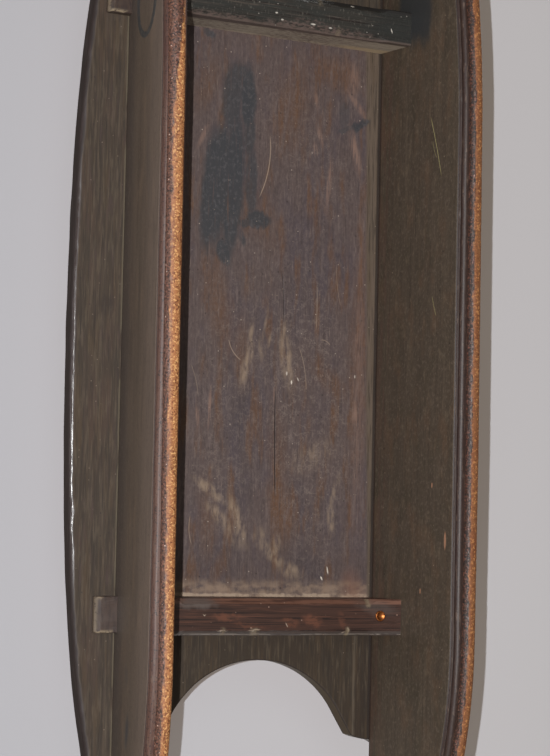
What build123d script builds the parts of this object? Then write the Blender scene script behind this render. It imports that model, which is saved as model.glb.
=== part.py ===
from build123d import *
from math import cos, radians, sin, sqrt, tan
import os

# A child's wooden coasting sled of the old plank-runner kind.
# Millimetres. +Z is up, the iron shoes stand on Z = 0, the nose points
# to -Y, and X = 0 is the middle plane of the sled. The sizes along Y are
# counted from a point midway between the cleats; the finished pieces are
# set so that Y = 0 is halfway along the whole sled.

# Runners: two planks on edge, leaning so that the feet stand apart.
inner_width = 235.0        # between the runners, at the underside of the deck
runner_thickness = 20.0
runner_height = 138.0      # wood only, straight down from the deck
runner_splay = 6.85        # degrees that each plank leans
runner_arris = 3.0         # rounding of the long lower edges
flat_front_y = -169.0      # the level stretch of the lower edge
flat_rear_y = 291.0
nose_sweep_radius = 900.0  # long upward curve in front
nose_tip_radius = 20.0
heel_sweep_radius = 404.0  # gentle rise behind
heel_corner_radius = 32.0
heel_y = 455.0             # rear end of the planks
heel_top_radius = 30.0     # upper rear corner of the planks

# Half-round iron shoes under the runners.
shoe_radius = 6.5
shoe_heel_run = 16.0       # straight bit up the back edge

# Deck board.
deck_thickness = 19.0
deck_arris = 4.0           # rounding of the long sides
deck_end_arris = 2.0       # chamfer round the arches
deck_nose_y = -420.0       # foremost points of the deck
deck_tail_y = 420.0        # rearmost points of the deck
arch_depth = 105.3         # from the deck's end to the crown of its round cut
arch_flare = 31.4          # degrees that the straight ends of the cut open
tail_arch_shift = 2.6      # of the tail's cut, to the right
shoulder_width = 21.3      # from a runner to the corner where the cut begins
shoulder_setback = 35.5
shoulder_rise = 4.5
ear_inset = 14.0           # ear tip, in from the side of the deck
ear_setback = 17.0         # where the rounded ear runs into the side
overhang_nose = 8.0        # deck beyond the outer face of the runner
overhang_front = 32.9
overhang_middle = 47.5
overhang_rear = 39.9
overhang_tail = 22.6
widest_y = 15.0

# Cross cleats under the deck, tenoned through the tops of the runners.
cleat_front_y = -278.0
cleat_front_skew = 2.2     # degrees, left end towards the nose
cleat_rear_y = 273.0
cleat_front_width = 31.0
cleat_rear_width = 33.0
cleat_depth = 50.0
cleat_chamfer = 5.0        # along the lower edges, stopped short of the ends
chamfer_stop = 22.0
cleat_arris = 1.0
tenon_depth = 10.0
tenon_reach = 22.0         # beyond the outer face of the runner
tenon_bevel = 5.0
shoulder_trim = 2.0        # cut off each shoulder, to fit the plank
notch_clearance = 0.2      # each side of a tenon

# Round rung between the noses, and the holes for a pull rope.
rung_y = -494.0
rung_drop = 40.0           # centre, below the underside of the deck
rung_radius = 9.5
rung_reach = 4.0           # beyond the outer faces
rung_clearance = 0.15
rope_hole_radius = 6.5
rope_hole_y = -555.0
rope_hole_drop = 25.0

# Derived values.
lean = radians(runner_splay)
deck_z = shoe_radius + runner_height
face_step = runner_thickness / cos(lean)
outer_x = inner_width / 2 + face_step
foot_x = inner_width / 2 + face_step / 2 + runner_height * tan(lean)
top_margin = runner_thickness * sin(lean) + runner_arris
plank_top = runner_height / cos(lean) + top_margin
reach_x = 2 * (outer_x + runner_height)

# Plane of the right-hand plank: its x runs along Y, its y runs up the plank.
plank_plane = Plane(
    origin=(foot_x, 0, shoe_radius),
    x_dir=(0, 1, 0),
    z_dir=(cos(lean), 0, sin(lean)),
)

# Angles of the nose sweep and of the heel sweep.
sweep_gap = nose_sweep_radius - nose_tip_radius
nose_cos = (nose_sweep_radius + nose_tip_radius - plank_top) / sweep_gap
nose_sin = sqrt(1 - nose_cos**2)
heel_run = heel_y - heel_corner_radius - flat_rear_y
heel_sin = heel_run / (heel_sweep_radius - heel_corner_radius)
heel_cos = sqrt(1 - heel_sin**2)


def on_arc(centre, radius, ax, ay):
    """Point on a circle, from its centre along a direction."""
    size = sqrt(ax**2 + ay**2)
    return (centre[0] + radius * ax / size, centre[1] + radius * ay / size)


# Points of the lower edge, in the plane of the plank.
nose_centre = (flat_front_y, nose_sweep_radius)
nose_end = on_arc(nose_centre, nose_sweep_radius, -nose_sin, -nose_cos)
nose_mid = on_arc(nose_centre, nose_sweep_radius, -nose_sin, -1 - nose_cos)
tip_centre = (
    nose_end[0] + nose_tip_radius * nose_sin,
    nose_end[1] + nose_tip_radius * nose_cos,
)
tip_front = on_arc(tip_centre, nose_tip_radius, -1, 0)
tip_low = on_arc(tip_centre, nose_tip_radius, -1 - nose_sin, -nose_cos)
tip_high = on_arc(tip_centre, nose_tip_radius, -1, 1)
tip_top = on_arc(tip_centre, nose_tip_radius, 0, 1)
heel_centre = (flat_rear_y, heel_sweep_radius)
heel_start = on_arc(heel_centre, heel_sweep_radius, heel_sin, -heel_cos)
heel_mid = on_arc(heel_centre, heel_sweep_radius, heel_sin, -1 - heel_cos)
corner_centre = (
    heel_start[0] - heel_corner_radius * heel_sin,
    heel_start[1] + heel_corner_radius * heel_cos,
)
corner_end = on_arc(corner_centre, heel_corner_radius, 1, 0)
corner_mid = on_arc(corner_centre, heel_corner_radius, 1 + heel_sin, -heel_cos)
top_centre = (heel_y - heel_top_radius, plank_top - heel_top_radius)
heel_back = on_arc(top_centre, heel_top_radius, 1, 0)
heel_high = on_arc(top_centre, heel_top_radius, 1, 1)
heel_top = on_arc(top_centre, heel_top_radius, 0, 1)

# Middle of the whole length, from the iron at the nose to that at the heel.
nose_front = tip_front[0] - shoe_radius
tail_back = heel_y + shoe_radius
middle_y = (nose_front + tail_back) / 2

tenon_z = deck_z - tenon_depth
cleat_z = deck_z - cleat_depth
rung_z = deck_z - rung_drop
rope_hole_z = deck_z - rope_hole_drop


with BuildPart() as plank:
    with BuildSketch(plank_plane):
        with BuildLine():
            ThreePointArc(tip_top, tip_high, tip_front)
            ThreePointArc(tip_front, tip_low, nose_end)
            ThreePointArc(nose_end, nose_mid, (flat_front_y, 0))
            Line((flat_front_y, 0), (flat_rear_y, 0))
            ThreePointArc((flat_rear_y, 0), heel_mid, heel_start)
            ThreePointArc(heel_start, corner_mid, corner_end)
            Line(corner_end, heel_back)
            ThreePointArc(heel_back, heel_high, heel_top)
            Line(heel_top, tip_top)
        make_face()
    extrude(amount=runner_thickness / 2, both=True)
    # Round the long edges of both faces, all but those under the deck.
    outline = plank.edges().filter_by(
        lambda e: abs((e @ 0 - e @ 1).dot(plank_plane.z_dir)) < 0.1
        and e.center().Z < deck_z - runner_arris
    )
    fillet(outline, runner_arris)
    # Level the top where the deck lies on it.
    with BuildSketch(Plane.XY.offset(deck_z)):
        Rectangle(reach_x, 4 * abs(tip_front[0]))
    extrude(amount=runner_height, mode=Mode.SUBTRACT)
    # Holes for the rung and for a rope, level from side to side.
    with BuildSketch(Plane.YZ.offset(inner_width / 4)):
        with Locations((rung_y, rung_z)):
            Circle(rung_radius + rung_clearance)
        with Locations((rope_hole_y, rope_hole_z)):
            Circle(rope_hole_radius)
    extrude(amount=inner_width, mode=Mode.SUBTRACT)

front_place = Location((0, cleat_front_y, 0), (0, 0, cleat_front_skew))
rear_place = Location((0, cleat_rear_y, 0))

with BuildPart() as notches:
    # Slots across both planks, for the tenons of the cleats.
    with BuildSketch(Plane.XY.offset(deck_z)):
        with Locations(front_place):
            Rectangle(4 * outer_x, cleat_front_width + 2 * notch_clearance)
        with Locations(rear_place):
            Rectangle(4 * outer_x, cleat_rear_width + 2 * notch_clearance)
    extrude(amount=-tenon_depth)

with BuildPart() as runner_right:
    add(plank.part)
    add(notches.part, mode=Mode.SUBTRACT)

with BuildPart() as runner_left:
    mirror(plank.part, about=Plane.YZ)
    add(notches.part, mode=Mode.SUBTRACT)

with BuildPart() as shoe_right:
    with BuildLine(plank_plane):
        ThreePointArc(tip_front, tip_low, nose_end)
        ThreePointArc(nose_end, nose_mid, (flat_front_y, 0))
        Line((flat_front_y, 0), (flat_rear_y, 0))
        ThreePointArc((flat_rear_y, 0), heel_mid, heel_start)
        ThreePointArc(heel_start, corner_mid, corner_end)
        Line(corner_end, (heel_y, corner_end[1] + shoe_heel_run))
    tip_plane = Plane(
        origin=plank_plane.from_local_coords(tip_front),
        x_dir=plank_plane.z_dir,
        z_dir=-plank_plane.y_dir,
    )
    with BuildSketch(tip_plane):
        Circle(shoe_radius)
        with Locations((0, -shoe_radius)):
            Rectangle(4 * shoe_radius, 2 * shoe_radius, mode=Mode.SUBTRACT)
    sweep()

with BuildPart() as shoe_left:
    mirror(shoe_right.part, about=Plane.YZ)


def cleat_outline():
    """Front view of a cleat: body that reaches into the leaning planks, and tenons."""
    body_low = inner_width / 2 + cleat_depth * tan(lean) + shoulder_trim
    body_high = inner_width / 2 + tenon_depth * tan(lean) + shoulder_trim
    end_x = outer_x + tenon_reach
    half = [
        (end_x, deck_z),
        (end_x, tenon_z + tenon_bevel),
        (end_x - tenon_bevel, tenon_z),
        (body_high, tenon_z),
        (body_low, cleat_z),
    ]
    return half + [(-x, z) for x, z in reversed(half)]


def chamfer_outline(side_y, inward):
    """Corner that is planed off one lower edge of a cleat, seen end on."""
    return [
        (side_y, cleat_z),
        (side_y, cleat_z + cleat_chamfer),
        (side_y + inward * cleat_chamfer, cleat_z),
    ]


def cleat(width):
    """Cleat across the origin, with stopped chamfers along its lower edges."""
    with BuildPart() as made:
        with BuildSketch(Plane.XZ.offset(-width / 2)):
            with BuildLine():
                Polyline(*cleat_outline(), close=True)
            make_face()
        extrude(amount=width)
        lower = made.edges().filter_by(Axis.X).group_by(Axis.Z)[0]
        fillet(lower, cleat_arris)
        with BuildSketch(Plane.YZ):
            for side in (-1, 1):
                with BuildLine():
                    Polyline(*chamfer_outline(side * width / 2, -side), close=True)
                make_face()
        chamfer_run = inner_width - 2 * chamfer_stop
        extrude(amount=chamfer_run / 2, both=True, mode=Mode.SUBTRACT)
    return made.part


# The shoulders of each cleat are scribed to the planks.
with BuildPart() as cleat_front:
    add(front_place * cleat(cleat_front_width))
    add(runner_left.part, mode=Mode.SUBTRACT)
    add(runner_right.part, mode=Mode.SUBTRACT)

with BuildPart() as cleat_rear:
    add(rear_place * cleat(cleat_rear_width))
    add(runner_left.part, mode=Mode.SUBTRACT)
    add(runner_right.part, mode=Mode.SUBTRACT)


# The cut's straight ends are tangent to its arc and run out to the corners.
flare = radians(arch_flare)
arch_corner_x = inner_width / 2 - shoulder_width
arch_corner_rise = arch_depth - shoulder_setback
arch_radius = (arch_corner_x - arch_corner_rise * tan(flare)) / (1 / cos(flare) - tan(flare))


def deck_end(tip_y, side_x, arch_x, hand):
    """Points of one end of the deck, on its right for hand 1 and on its left for -1."""
    out = 1 if tip_y > 0 else -1
    centre = (hand * arch_x, tip_y - out * (arch_depth - arch_radius))
    corner_y = tip_y - out * shoulder_setback
    corner_x = arch_corner_x + hand * arch_x
    root = (inner_width / 2, corner_y + out * shoulder_rise)
    tip = (side_x - ear_inset, tip_y)
    points = {
        "crown": (centre[0], centre[1] - out * arch_radius),
        "arch_mid": on_arc(centre, arch_radius, cos(flare), -out * (1 + sin(flare))),
        "flank": on_arc(centre, arch_radius, cos(flare), -out * sin(flare)),
        "corner": (corner_x, corner_y),
        "shoulder_mid": (
            (corner_x + root[0]) / 2,
            corner_y + out * shoulder_rise * 0.7,
        ),
        "root": root,
        "ogee_mid": (
            root[0] + (tip[0] - root[0]) * 0.65,
            root[1] + (tip[1] - root[1]) * 0.40,
        ),
        "tip": tip,
        "ear_mid": (
            tip[0] + ear_inset * 0.74,
            tip_y - out * ear_setback * 0.26,
        ),
        "side": (side_x, tip_y - out * ear_setback),
    }
    return {key: (hand * x, y) for key, (x, y) in points.items()}


with BuildPart() as deck_board:
    with BuildSketch(Plane.XY.offset(deck_z)):
        with BuildLine():
            for hand in (1, -1):
                tail = deck_end(deck_tail_y, outer_x + overhang_tail, tail_arch_shift, hand)
                nose = deck_end(deck_nose_y, outer_x + overhang_nose, 0, hand)
                for end in (tail, nose):
                    ThreePointArc(end["crown"], end["arch_mid"], end["flank"])
                    Line(end["flank"], end["corner"])
                    ThreePointArc(end["corner"], end["shoulder_mid"], end["root"])
                    ThreePointArc(end["root"], end["ogee_mid"], end["tip"])
                    ThreePointArc(end["tip"], end["ear_mid"], end["side"])
                Spline(
                    tail["side"],
                    (hand * (outer_x + overhang_rear), cleat_rear_y),
                    (hand * (outer_x + overhang_middle), widest_y),
                    (hand * (outer_x + overhang_front), cleat_front_y),
                    nose["side"],
                )
        make_face()
    extrude(amount=deck_thickness)
    sides = deck_board.edges().filter_by(
        lambda e: e.length > deck_tail_y
    )
    fillet(sides, deck_arris)
    arches = deck_board.edges().filter_by(
        lambda e: max(abs((e @ 0).X), abs((e @ 1).X)) < inner_width / 2 - 1
        and abs((e @ 0).Z - (e @ 1).Z) < 0.1
    )
    chamfer(arches, deck_end_arris)

with BuildPart() as nose_rung:
    rung_top_x = outer_x + (rung_drop - rung_radius) * tan(lean)
    rung_half = rung_top_x + 2 * rung_radius * tan(lean) + rung_reach
    with BuildSketch(Plane.YZ):
        with Locations((rung_y, rung_z)):
            Circle(rung_radius)
    extrude(amount=rung_half, both=True)
    chamfer(nose_rung.edges(), 1.5)

pieces = {
    "deck_board": deck_board,
    "runner_left": runner_left,
    "runner_right": runner_right,
    "shoe_left": shoe_left,
    "shoe_right": shoe_right,
    "cleat_front": cleat_front,
    "cleat_rear": cleat_rear,
    "nose_rung": nose_rung,
}

os.makedirs("parts", exist_ok=True)
for name, piece in pieces.items():
    piece.part.locate(Location((0, -middle_y, 0)))
    piece.part.label = name
    export_step(piece.part, f"parts/{name}.step")
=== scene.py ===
from math import atan2, cos, degrees, hypot, pi, radians, sin, tan

import bpy
import numpy as np
from bpy.props import FloatProperty, FloatVectorProperty, PointerProperty
from bpy.types import NodeSocket, Operator, Panel, PropertyGroup
from mathutils import Matrix, Vector


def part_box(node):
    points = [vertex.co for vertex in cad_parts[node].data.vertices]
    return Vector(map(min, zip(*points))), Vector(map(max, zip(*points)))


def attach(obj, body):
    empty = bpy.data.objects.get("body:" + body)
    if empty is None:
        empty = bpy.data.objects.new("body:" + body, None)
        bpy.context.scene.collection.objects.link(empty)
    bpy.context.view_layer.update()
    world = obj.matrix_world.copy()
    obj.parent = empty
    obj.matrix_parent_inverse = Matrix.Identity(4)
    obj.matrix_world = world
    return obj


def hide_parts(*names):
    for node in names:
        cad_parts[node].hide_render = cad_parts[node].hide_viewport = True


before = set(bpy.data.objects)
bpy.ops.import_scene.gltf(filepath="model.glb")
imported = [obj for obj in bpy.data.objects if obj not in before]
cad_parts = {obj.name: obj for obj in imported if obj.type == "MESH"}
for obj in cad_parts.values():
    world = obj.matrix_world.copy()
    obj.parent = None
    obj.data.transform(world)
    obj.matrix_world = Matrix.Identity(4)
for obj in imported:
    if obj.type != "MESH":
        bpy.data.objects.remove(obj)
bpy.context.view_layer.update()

bl_info = {
    "name": "Coasting sled",
    "version": (1, 0, 0),
    "blender": (4, 5, 0),
    "location": "3D View > Sidebar > Sled",
    "description": "Dresses the solids of an old child's coasting sled in worn, painted wood and rusty iron",
    "category": "Add Mesh",
}

# The sled stands on its iron shoes at Z = 0, its nose points to -Y, and X = 0 is its middle plane.
# Lengths are in metres, as Blender's own are.
MM = 0.001
DECK_LOW, DECK_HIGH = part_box("deck_board")
RUNNER_LOW, RUNNER_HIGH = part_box("runner_right")
SHOE_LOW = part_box("shoe_right")[0]
RUNG_LOW, RUNG_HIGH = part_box("nose_rung")
FRONT_LOW, FRONT_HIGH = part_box("cleat_front")
REAR_LOW, REAR_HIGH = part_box("cleat_rear")
DECK_Z = DECK_LOW.z
DECK_TOP = DECK_HIGH.z
ROPE_HOLE = Vector((0.13058, -0.48015, 0.1195))
DECK_MIDDLE = (DECK_LOW.y + DECK_HIGH.y) / 2


def linear(code):
    """Colour written as sRGB hex, turned into the linear values that shaders take."""
    parts = np.array([int(code[i:i + 2], 16) for i in (1, 3, 5)]) / 255
    low = parts / 12.92
    high = ((parts + 0.055) / 1.055) ** 2.4
    return (*np.where(parts <= 0.04045, low, high).tolist(), 1.0)


def length_property(label, value, about):
    """A size that the sidebar shows in the scene's own unit."""
    return FloatProperty(name=label, default=value, description=about, subtype="DISTANCE", precision=4)


def colour_property(label, code, about):
    """A colour that the sidebar shows as a swatch."""
    return FloatVectorProperty(
        name=label, default=linear(code), size=4, min=0.0, max=1.0, subtype="COLOR", description=about
    )


class SledSizes(PropertyGroup):
    """Sizes that the solids don't state by themselves."""

    inner_width: length_property("Inner width", 0.235, "Between the runners, at the deck")
    plank: length_property("Runner thickness", 0.020, "Thickness of each runner plank")
    splay: FloatProperty(
        name="Splay", default=radians(6.85), subtype="ANGLE", description="Lean of each runner plank"
    )
    shoe_radius: length_property("Shoe radius", 0.0065, "Radius of the half-round iron")
    nose_sweep: length_property("Nose sweep", 0.900, "Radius of the long curve in front")
    nose_tip: length_property("Nose tip", 0.020, "Radius of the runner's foremost corner")
    heel_sweep: length_property("Heel sweep", 0.404, "Radius of the rise behind")
    heel_corner: length_property("Heel corner", 0.032, "Radius of the lower rear corner")
    heel_top: length_property("Heel top", 0.030, "Radius of the upper rear corner")
    heel_rise: length_property("Heel rise", 0.164, "Length over which the heel rises")
    bead: length_property("Bead", 0.0078, "Height of the bead along the lower edge")
    quirk: length_property("Quirk", 0.0013, "Depth of the groove above the bead")
    arch_depth: length_property("Arch depth", 0.1053, "From the deck's end to the crown of its cut")
    arch_flare: FloatProperty(
        name="Arch flare", default=radians(31.4), subtype="ANGLE",
        description="Opening of the straight ends of the cut",
    )
    arch_shift: length_property("Tail arch shift", 0.0026, "Shift of the tail's cut to the right")
    shoulder: length_property("Shoulder", 0.0213, "From a runner to the corner where the cut begins")
    front_skew: FloatProperty(
        name="Front skew", default=radians(2.2), subtype="ANGLE", description="Slant of the front cleat"
    )
    front_width: length_property("Front cleat", 0.031, "Width of the front cleat")
    rear_width: length_property("Rear cleat", 0.033, "Width of the rear cleat")
    chamfer: length_property("Cleat chamfer", 0.005, "Chamfer on the lower edges of a cleat")
    chamfer_stop: length_property("Chamfer stop", 0.022, "Distance from a runner to the chamfer")
    tenon: length_property("Tenon depth", 0.010, "Depth of the tenons through the runners")
    rope_hole: length_property("Rope hole", 0.0065, "Radius of the holes for a pull rope")


class SledColours(PropertyGroup):
    """Colours of the old finishes."""

    varnish: colour_property("Olive varnish", "#4c4136", "Aged varnish on runners, overhang and tail")
    panel: colour_property("Panel paint", "#554745", "Thin purple-brown paint between the cleats")
    panel_red: colour_property("Panel red", "#60432f", "Where red-brown shows through the paint")
    ink: colour_property("Blue-black paint", "#2f3133", "Smears and pinstripes")
    cleat: colour_property("Cleat stain", "#402a22", "Dark red-brown stain on the rear cleat")
    rust: colour_property("Rust", "#aa7044", "Bright rust on the shoes")
    iron: colour_property("Brown iron", "#472c24", "Smooth dark oxide on the shoes")
    top: colour_property("Deck paint", "#5a3328", "Red-brown paint on top of the deck")
    bare: colour_property("Bare wood", "#85705a", "Wood where the finish is worn off")


def sizes():
    return bpy.context.scene.sled_sizes


def colours():
    return bpy.context.scene.sled_colours


# Outlines and meshes


def arc(centre, radius, start, end, step):
    """Points on a circle from one angle to another, in degrees, a step apart along the arc."""
    count = max(3, int(abs(radians(end - start)) * radius / step) + 1)
    angle = np.radians(np.linspace(start, end, count))
    return np.stack([centre[0] + radius * np.cos(angle), centre[1] + radius * np.sin(angle)], axis=1)


def straight(first, last, step):
    """Points on a line, a step apart."""
    count = max(2, int(np.hypot(last[0] - first[0], last[1] - first[1]) / step) + 1)
    share = np.linspace(0, 1, count)[:, None]
    return np.array(first) * (1 - share) + np.array(last) * share


def arc_through(first, middle, last, step):
    """Points on the circle through three points: its centre is as far from each of them."""
    points = np.array([first, middle, last])
    sides = 2 * (points[1:] - points[0])
    squares = (points[1:] ** 2).sum(axis=1) - (points[0] ** 2).sum()
    centre = np.linalg.solve(sides, squares)
    turn = np.degrees(np.unwrap(np.arctan2(points[:, 1] - centre[1], points[:, 0] - centre[0])))
    return arc(centre, np.linalg.norm(points[0] - centre), turn[0], turn[2], step)


def chain(*runs):
    """One run of points from several, without the repeated ends."""
    return np.concatenate([runs[0]] + [run[1:] for run in runs[1:]])


def inward(points, closed):
    """Unit normals on the right-hand side of a run of points: its direction turned by a quarter."""
    if closed:
        along = np.roll(points, -1, axis=0) - np.roll(points, 1, axis=0)
    else:
        along = np.gradient(points, axis=0)
    along /= np.linalg.norm(along, axis=1, keepdims=True)
    return np.stack([along[:, 1], -along[:, 0]], axis=1)


def distance_along(points):
    """Length of the run up to each of its points."""
    steps = np.linalg.norm(np.diff(points, axis=0), axis=1)
    return np.concatenate([[0.0], np.cumsum(steps)])


def wander(random, where, span):
    """Smooth random line, between -1 and 1: random values a span apart, joined by a curve."""
    knots = random.uniform(-1, 1, int(where.max() / span) + 3)
    place = where / span
    base = place.astype(int)
    share = place - base
    share = share * share * (3 - 2 * share)
    return knots[base] * (1 - share) + knots[base + 1] * share


def skin(rows, columns, closed_rows, closed_columns):
    """Four-sided faces between the points of a grid, counted row by row."""
    last_row = rows if closed_rows else rows - 1
    last_column = columns if closed_columns else columns - 1
    row, column = np.meshgrid(np.arange(last_row), np.arange(last_column), indexing="ij")
    next_row = (row + 1) % rows
    next_column = (column + 1) % columns
    corners = (
        row * columns + column,
        row * columns + next_column,
        next_row * columns + next_column,
        next_row * columns + column,
    )
    return np.stack(corners, axis=-1).reshape(-1, 4)


def carry(rings, closed_path, closed_profile, caps):
    """Points and faces of a profile carried along a path.

    rings holds one profile for each station of the path. Caps are flat faces: over the first and
    last profiles of an open path, or inside the first and last points of each profile of a closed one.
    """
    rows, columns = rings.shape[:2]
    faces = skin(rows, columns, closed_path, closed_profile).tolist()
    if caps and closed_path:
        first = np.arange(rows) * columns
        faces += [first.tolist(), (first + columns - 1)[::-1].tolist()]
    elif caps:
        first = np.arange(columns)
        faces += [first.tolist()[::-1], (first + (rows - 1) * columns).tolist()]
    return rings.reshape(-1, 3), faces


def make_piece(name, parts, material, replaced=None, sharp=32):
    """Mesh object from lists of points and faces, with outward faces, a finish and its place in the sled."""
    points, faces, base = [], [], 0
    for part_points, part_faces in parts:
        points.append(part_points)
        faces += [[index + base for index in face] for face in part_faces]
        base += len(part_points)
    mesh = bpy.data.meshes.new(name)
    mesh.from_pydata(np.concatenate(points).tolist(), [], faces)
    mesh.validate()
    piece = bpy.data.objects.new(name, mesh)
    bpy.context.scene.collection.objects.link(piece)
    bpy.ops.object.select_all(action="DESELECT")
    piece.select_set(True)
    bpy.context.view_layer.objects.active = piece
    bpy.ops.object.mode_set(mode="EDIT")
    bpy.ops.mesh.select_all(action="SELECT")
    bpy.ops.mesh.remove_doubles(threshold=0.000002)
    bpy.ops.mesh.normals_make_consistent(inside=False)
    bpy.ops.object.mode_set(mode="OBJECT")
    mesh.shade_smooth()
    mesh.set_sharp_from_angle(angle=radians(sharp))
    corners = np.empty(len(mesh.polygons), np.int32)
    mesh.polygons.foreach_get("loop_total", corners)
    mesh.polygons.foreach_set("use_smooth", corners == 4)
    mesh.materials.append(material)
    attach(piece, "root")
    if replaced:
        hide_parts(replaced)
    return piece


# Patterns and finishes

EASED = {"interpolation_type": "SMOOTHSTEP"}


def span(value, start, end, low=0.0, high=1.0):
    """Sockets of a Map Range node that carries a value from start and end to low and high."""
    return {"Value": value, "From Min": start, "From Max": end, "To Min": low, "To Max": high}


def mark_frame(place, x0, y0, x1, y1, half, reach):
    """Sockets of a Mapping node in whose coordinates a mark's ends and sides lie at plus and minus one."""
    return {
        "Vector": place,
        "Location": ((x0 + x1) / 2 * MM, (y0 + y1) / 2 * MM, 0.0),
        "Rotation": (0.0, 0.0, -atan2(x1 - x0, y1 - y0)),
        "Scale": (half * MM, reach * MM, 1000.0),
    }


class Nodes:
    """A node tree that is being filled."""

    def __init__(self, tree):
        self.tree = tree
        tree.nodes.clear()

    def add(self, kind, sockets=None, **settings):
        """Add one node, with its settings, and set or link its sockets."""
        node = self.tree.nodes.new(kind)
        for key, value in settings.items():
            setattr(node, key, value)
        for key, value in (sockets or {}).items():
            if isinstance(value, NodeSocket):
                self.tree.links.new(value, node.inputs[key])
            else:
                node.inputs[key].default_value = value
        return node


class Coats(Nodes):
    """A material that is built up coat by coat, with the patterns that the coats are laid in.

    A pattern is one where its coat shows and zero elsewhere, and lies in the piece's own coordinates
    unless it is given another place. Its widths, lengths, pitches and radii are in millimetres.
    """

    def __init__(self, name, colour=None, roughness=0.5):
        self.material = bpy.data.materials.new(name)
        self.material.use_nodes = True
        super().__init__(self.material.node_tree)
        self.place = self.add("ShaderNodeTexCoord").outputs["Object"]
        if colour:
            self.ground(colour, roughness)

    def ground(self, colour, roughness):
        """Flat start of a surface, on which the coats are laid."""
        self.colour = self.add("ShaderNodeRGB").outputs[0]
        self.roughness, self.height = (self.add("ShaderNodeValue").outputs[0] for _ in range(2))
        self.colour.default_value = colour
        self.roughness.default_value = roughness
        self.height.default_value = 0.0

    def wood(self, colour, roughness, grain_depth=0.05, place=None):
        """Bare start of a wooden surface: pores and year lines along Y, light and dark."""
        self.ground(colour, roughness)
        dark, pale = (tuple(min(1.0, k * part) for part in colour[:3]) + (1.0,) for k in (0.60, 1.35))
        self.lay(pale, self.streaks(7.0, 200.0, 0.42, 0.72, place=place), 0.7)
        self.lay(dark, self.year_lines(5.5, place), 0.26)
        self.lay(dark, self.streaks(1.4, 70.0, 0.50, 0.68, detail=4.0, place=place), 0.75, lift=-grain_depth)

    def lay(self, colour, *masks, rough=None, lift=0.0):
        """A coat where the product of its masks is one: its colour, gloss and height in millimetres."""
        cover = self.times(*masks)
        colour = linear(colour) if isinstance(colour, str) else colour
        self.colour = self.add("ShaderNodeMix", {
            "Factor": cover, 6: self.colour, 7: colour,
        }, data_type="RGBA").outputs[2]
        if rough is not None:
            self.roughness = self.add("ShaderNodeMix", {
                "Factor": cover, 2: self.roughness, 3: rough,
            }).outputs[0]
        if lift:
            self.height = self.add("ShaderNodeMath", {
                0: cover, 1: lift, 2: self.height,
            }, operation="MULTIPLY_ADD").outputs[0]

    def streaky(self, masks, *rows):
        """Coats of streaks within the masks, each a colour, a strength and what streaks takes."""
        for colour, strength, *pattern in rows:
            self.lay(colour, *masks, self.streaks(*pattern), strength)

    def done(self, specular=0.5, metallic=0.0):
        """The material, with the shader of all its coats: their heights become bumps."""
        bump = self.add("ShaderNodeBump", {"Height": self.height, "Distance": MM, "Strength": 1.0})
        shader = self.add("ShaderNodeBsdfPrincipled", {
            "Base Color": self.colour, "Roughness": self.roughness, "Normal": bump.outputs[0],
            "Specular IOR Level": specular, "Metallic": metallic,
        })
        self.add("ShaderNodeOutputMaterial", {"Surface": shader.outputs[0]})
        return self.material

    def times(self, *values):
        """Product of several masks."""
        product = values[0]
        for value in values[1:]:
            product = self.add("ShaderNodeMath", {0: product, 1: value}, operation="MULTIPLY").outputs[0]
        return product

    def strongest(self, values):
        """Largest of several masks."""
        most = values[0]
        for value in values[1:]:
            most = self.add("ShaderNodeMath", {0: most, 1: value}, operation="MAXIMUM").outputs[0]
        return most

    def band(self, value, low, high, soft):
        """One between two limits of a value, and zero beyond them, over a soft edge."""
        rise = self.add("ShaderNodeMapRange", span(value, low - soft, low + soft), **EASED)
        fall = self.add("ShaderNodeMapRange", span(value, high - soft, high + soft, 1.0, 0.0), **EASED)
        return self.times(rise.outputs[0], fall.outputs[0])

    def streaks(self, width, length, low=0.35, high=0.65, shift=0.0, detail=3.0, place=None):
        """Streaks along the sled: noise drawn out along Y, from nothing at low to whole at high."""
        mapped = self.add("ShaderNodeMapping", {
            "Vector": place or self.place, "Location": (shift, shift, shift),
            "Scale": (1000 / width, 1000 / length, 1000 / width),
        })
        noise = self.add("ShaderNodeTexNoise", {
            "Vector": mapped.outputs[0], "Scale": 1.0, "Detail": detail, "Roughness": 0.6,
        })
        return self.add("ShaderNodeMapRange", span(noise.outputs[0], low, high), **EASED).outputs[0]

    def year_lines(self, pitch, place=None):
        """Year lines of a flat-sawn board: waves across it, bent by a noise that is drawn out along Y."""
        mapped = self.add("ShaderNodeMapping", {"Vector": place or self.place, "Scale": (1.0, 0.05, 1.0)})
        wave = self.add("ShaderNodeTexWave", {
            "Vector": mapped.outputs[0], "Scale": 314 / pitch, "Distortion": 16.0, "Detail": 2.0,
            "Detail Scale": 0.35, "Detail Roughness": 0.6,
        })
        return self.add("ShaderNodeMapRange", span(wave.outputs["Fac"], 0.45, 0.95), **EASED).outputs[0]

    def flecks(self, size, share, shift=0.0):
        """Scattered flecks: only the peaks of a fine noise are left."""
        moved = self.add("ShaderNodeMapping", {"Vector": self.place, "Location": (shift, shift, shift)})
        noise = self.add("ShaderNodeTexNoise", {
            "Vector": moved.outputs[0], "Scale": 1000 / size, "Detail": 2.0, "Roughness": 0.5,
        })
        edge = 0.78 - share
        return self.add("ShaderNodeMapRange", span(noise.outputs[0], edge, edge + 0.05)).outputs[0]

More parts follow.
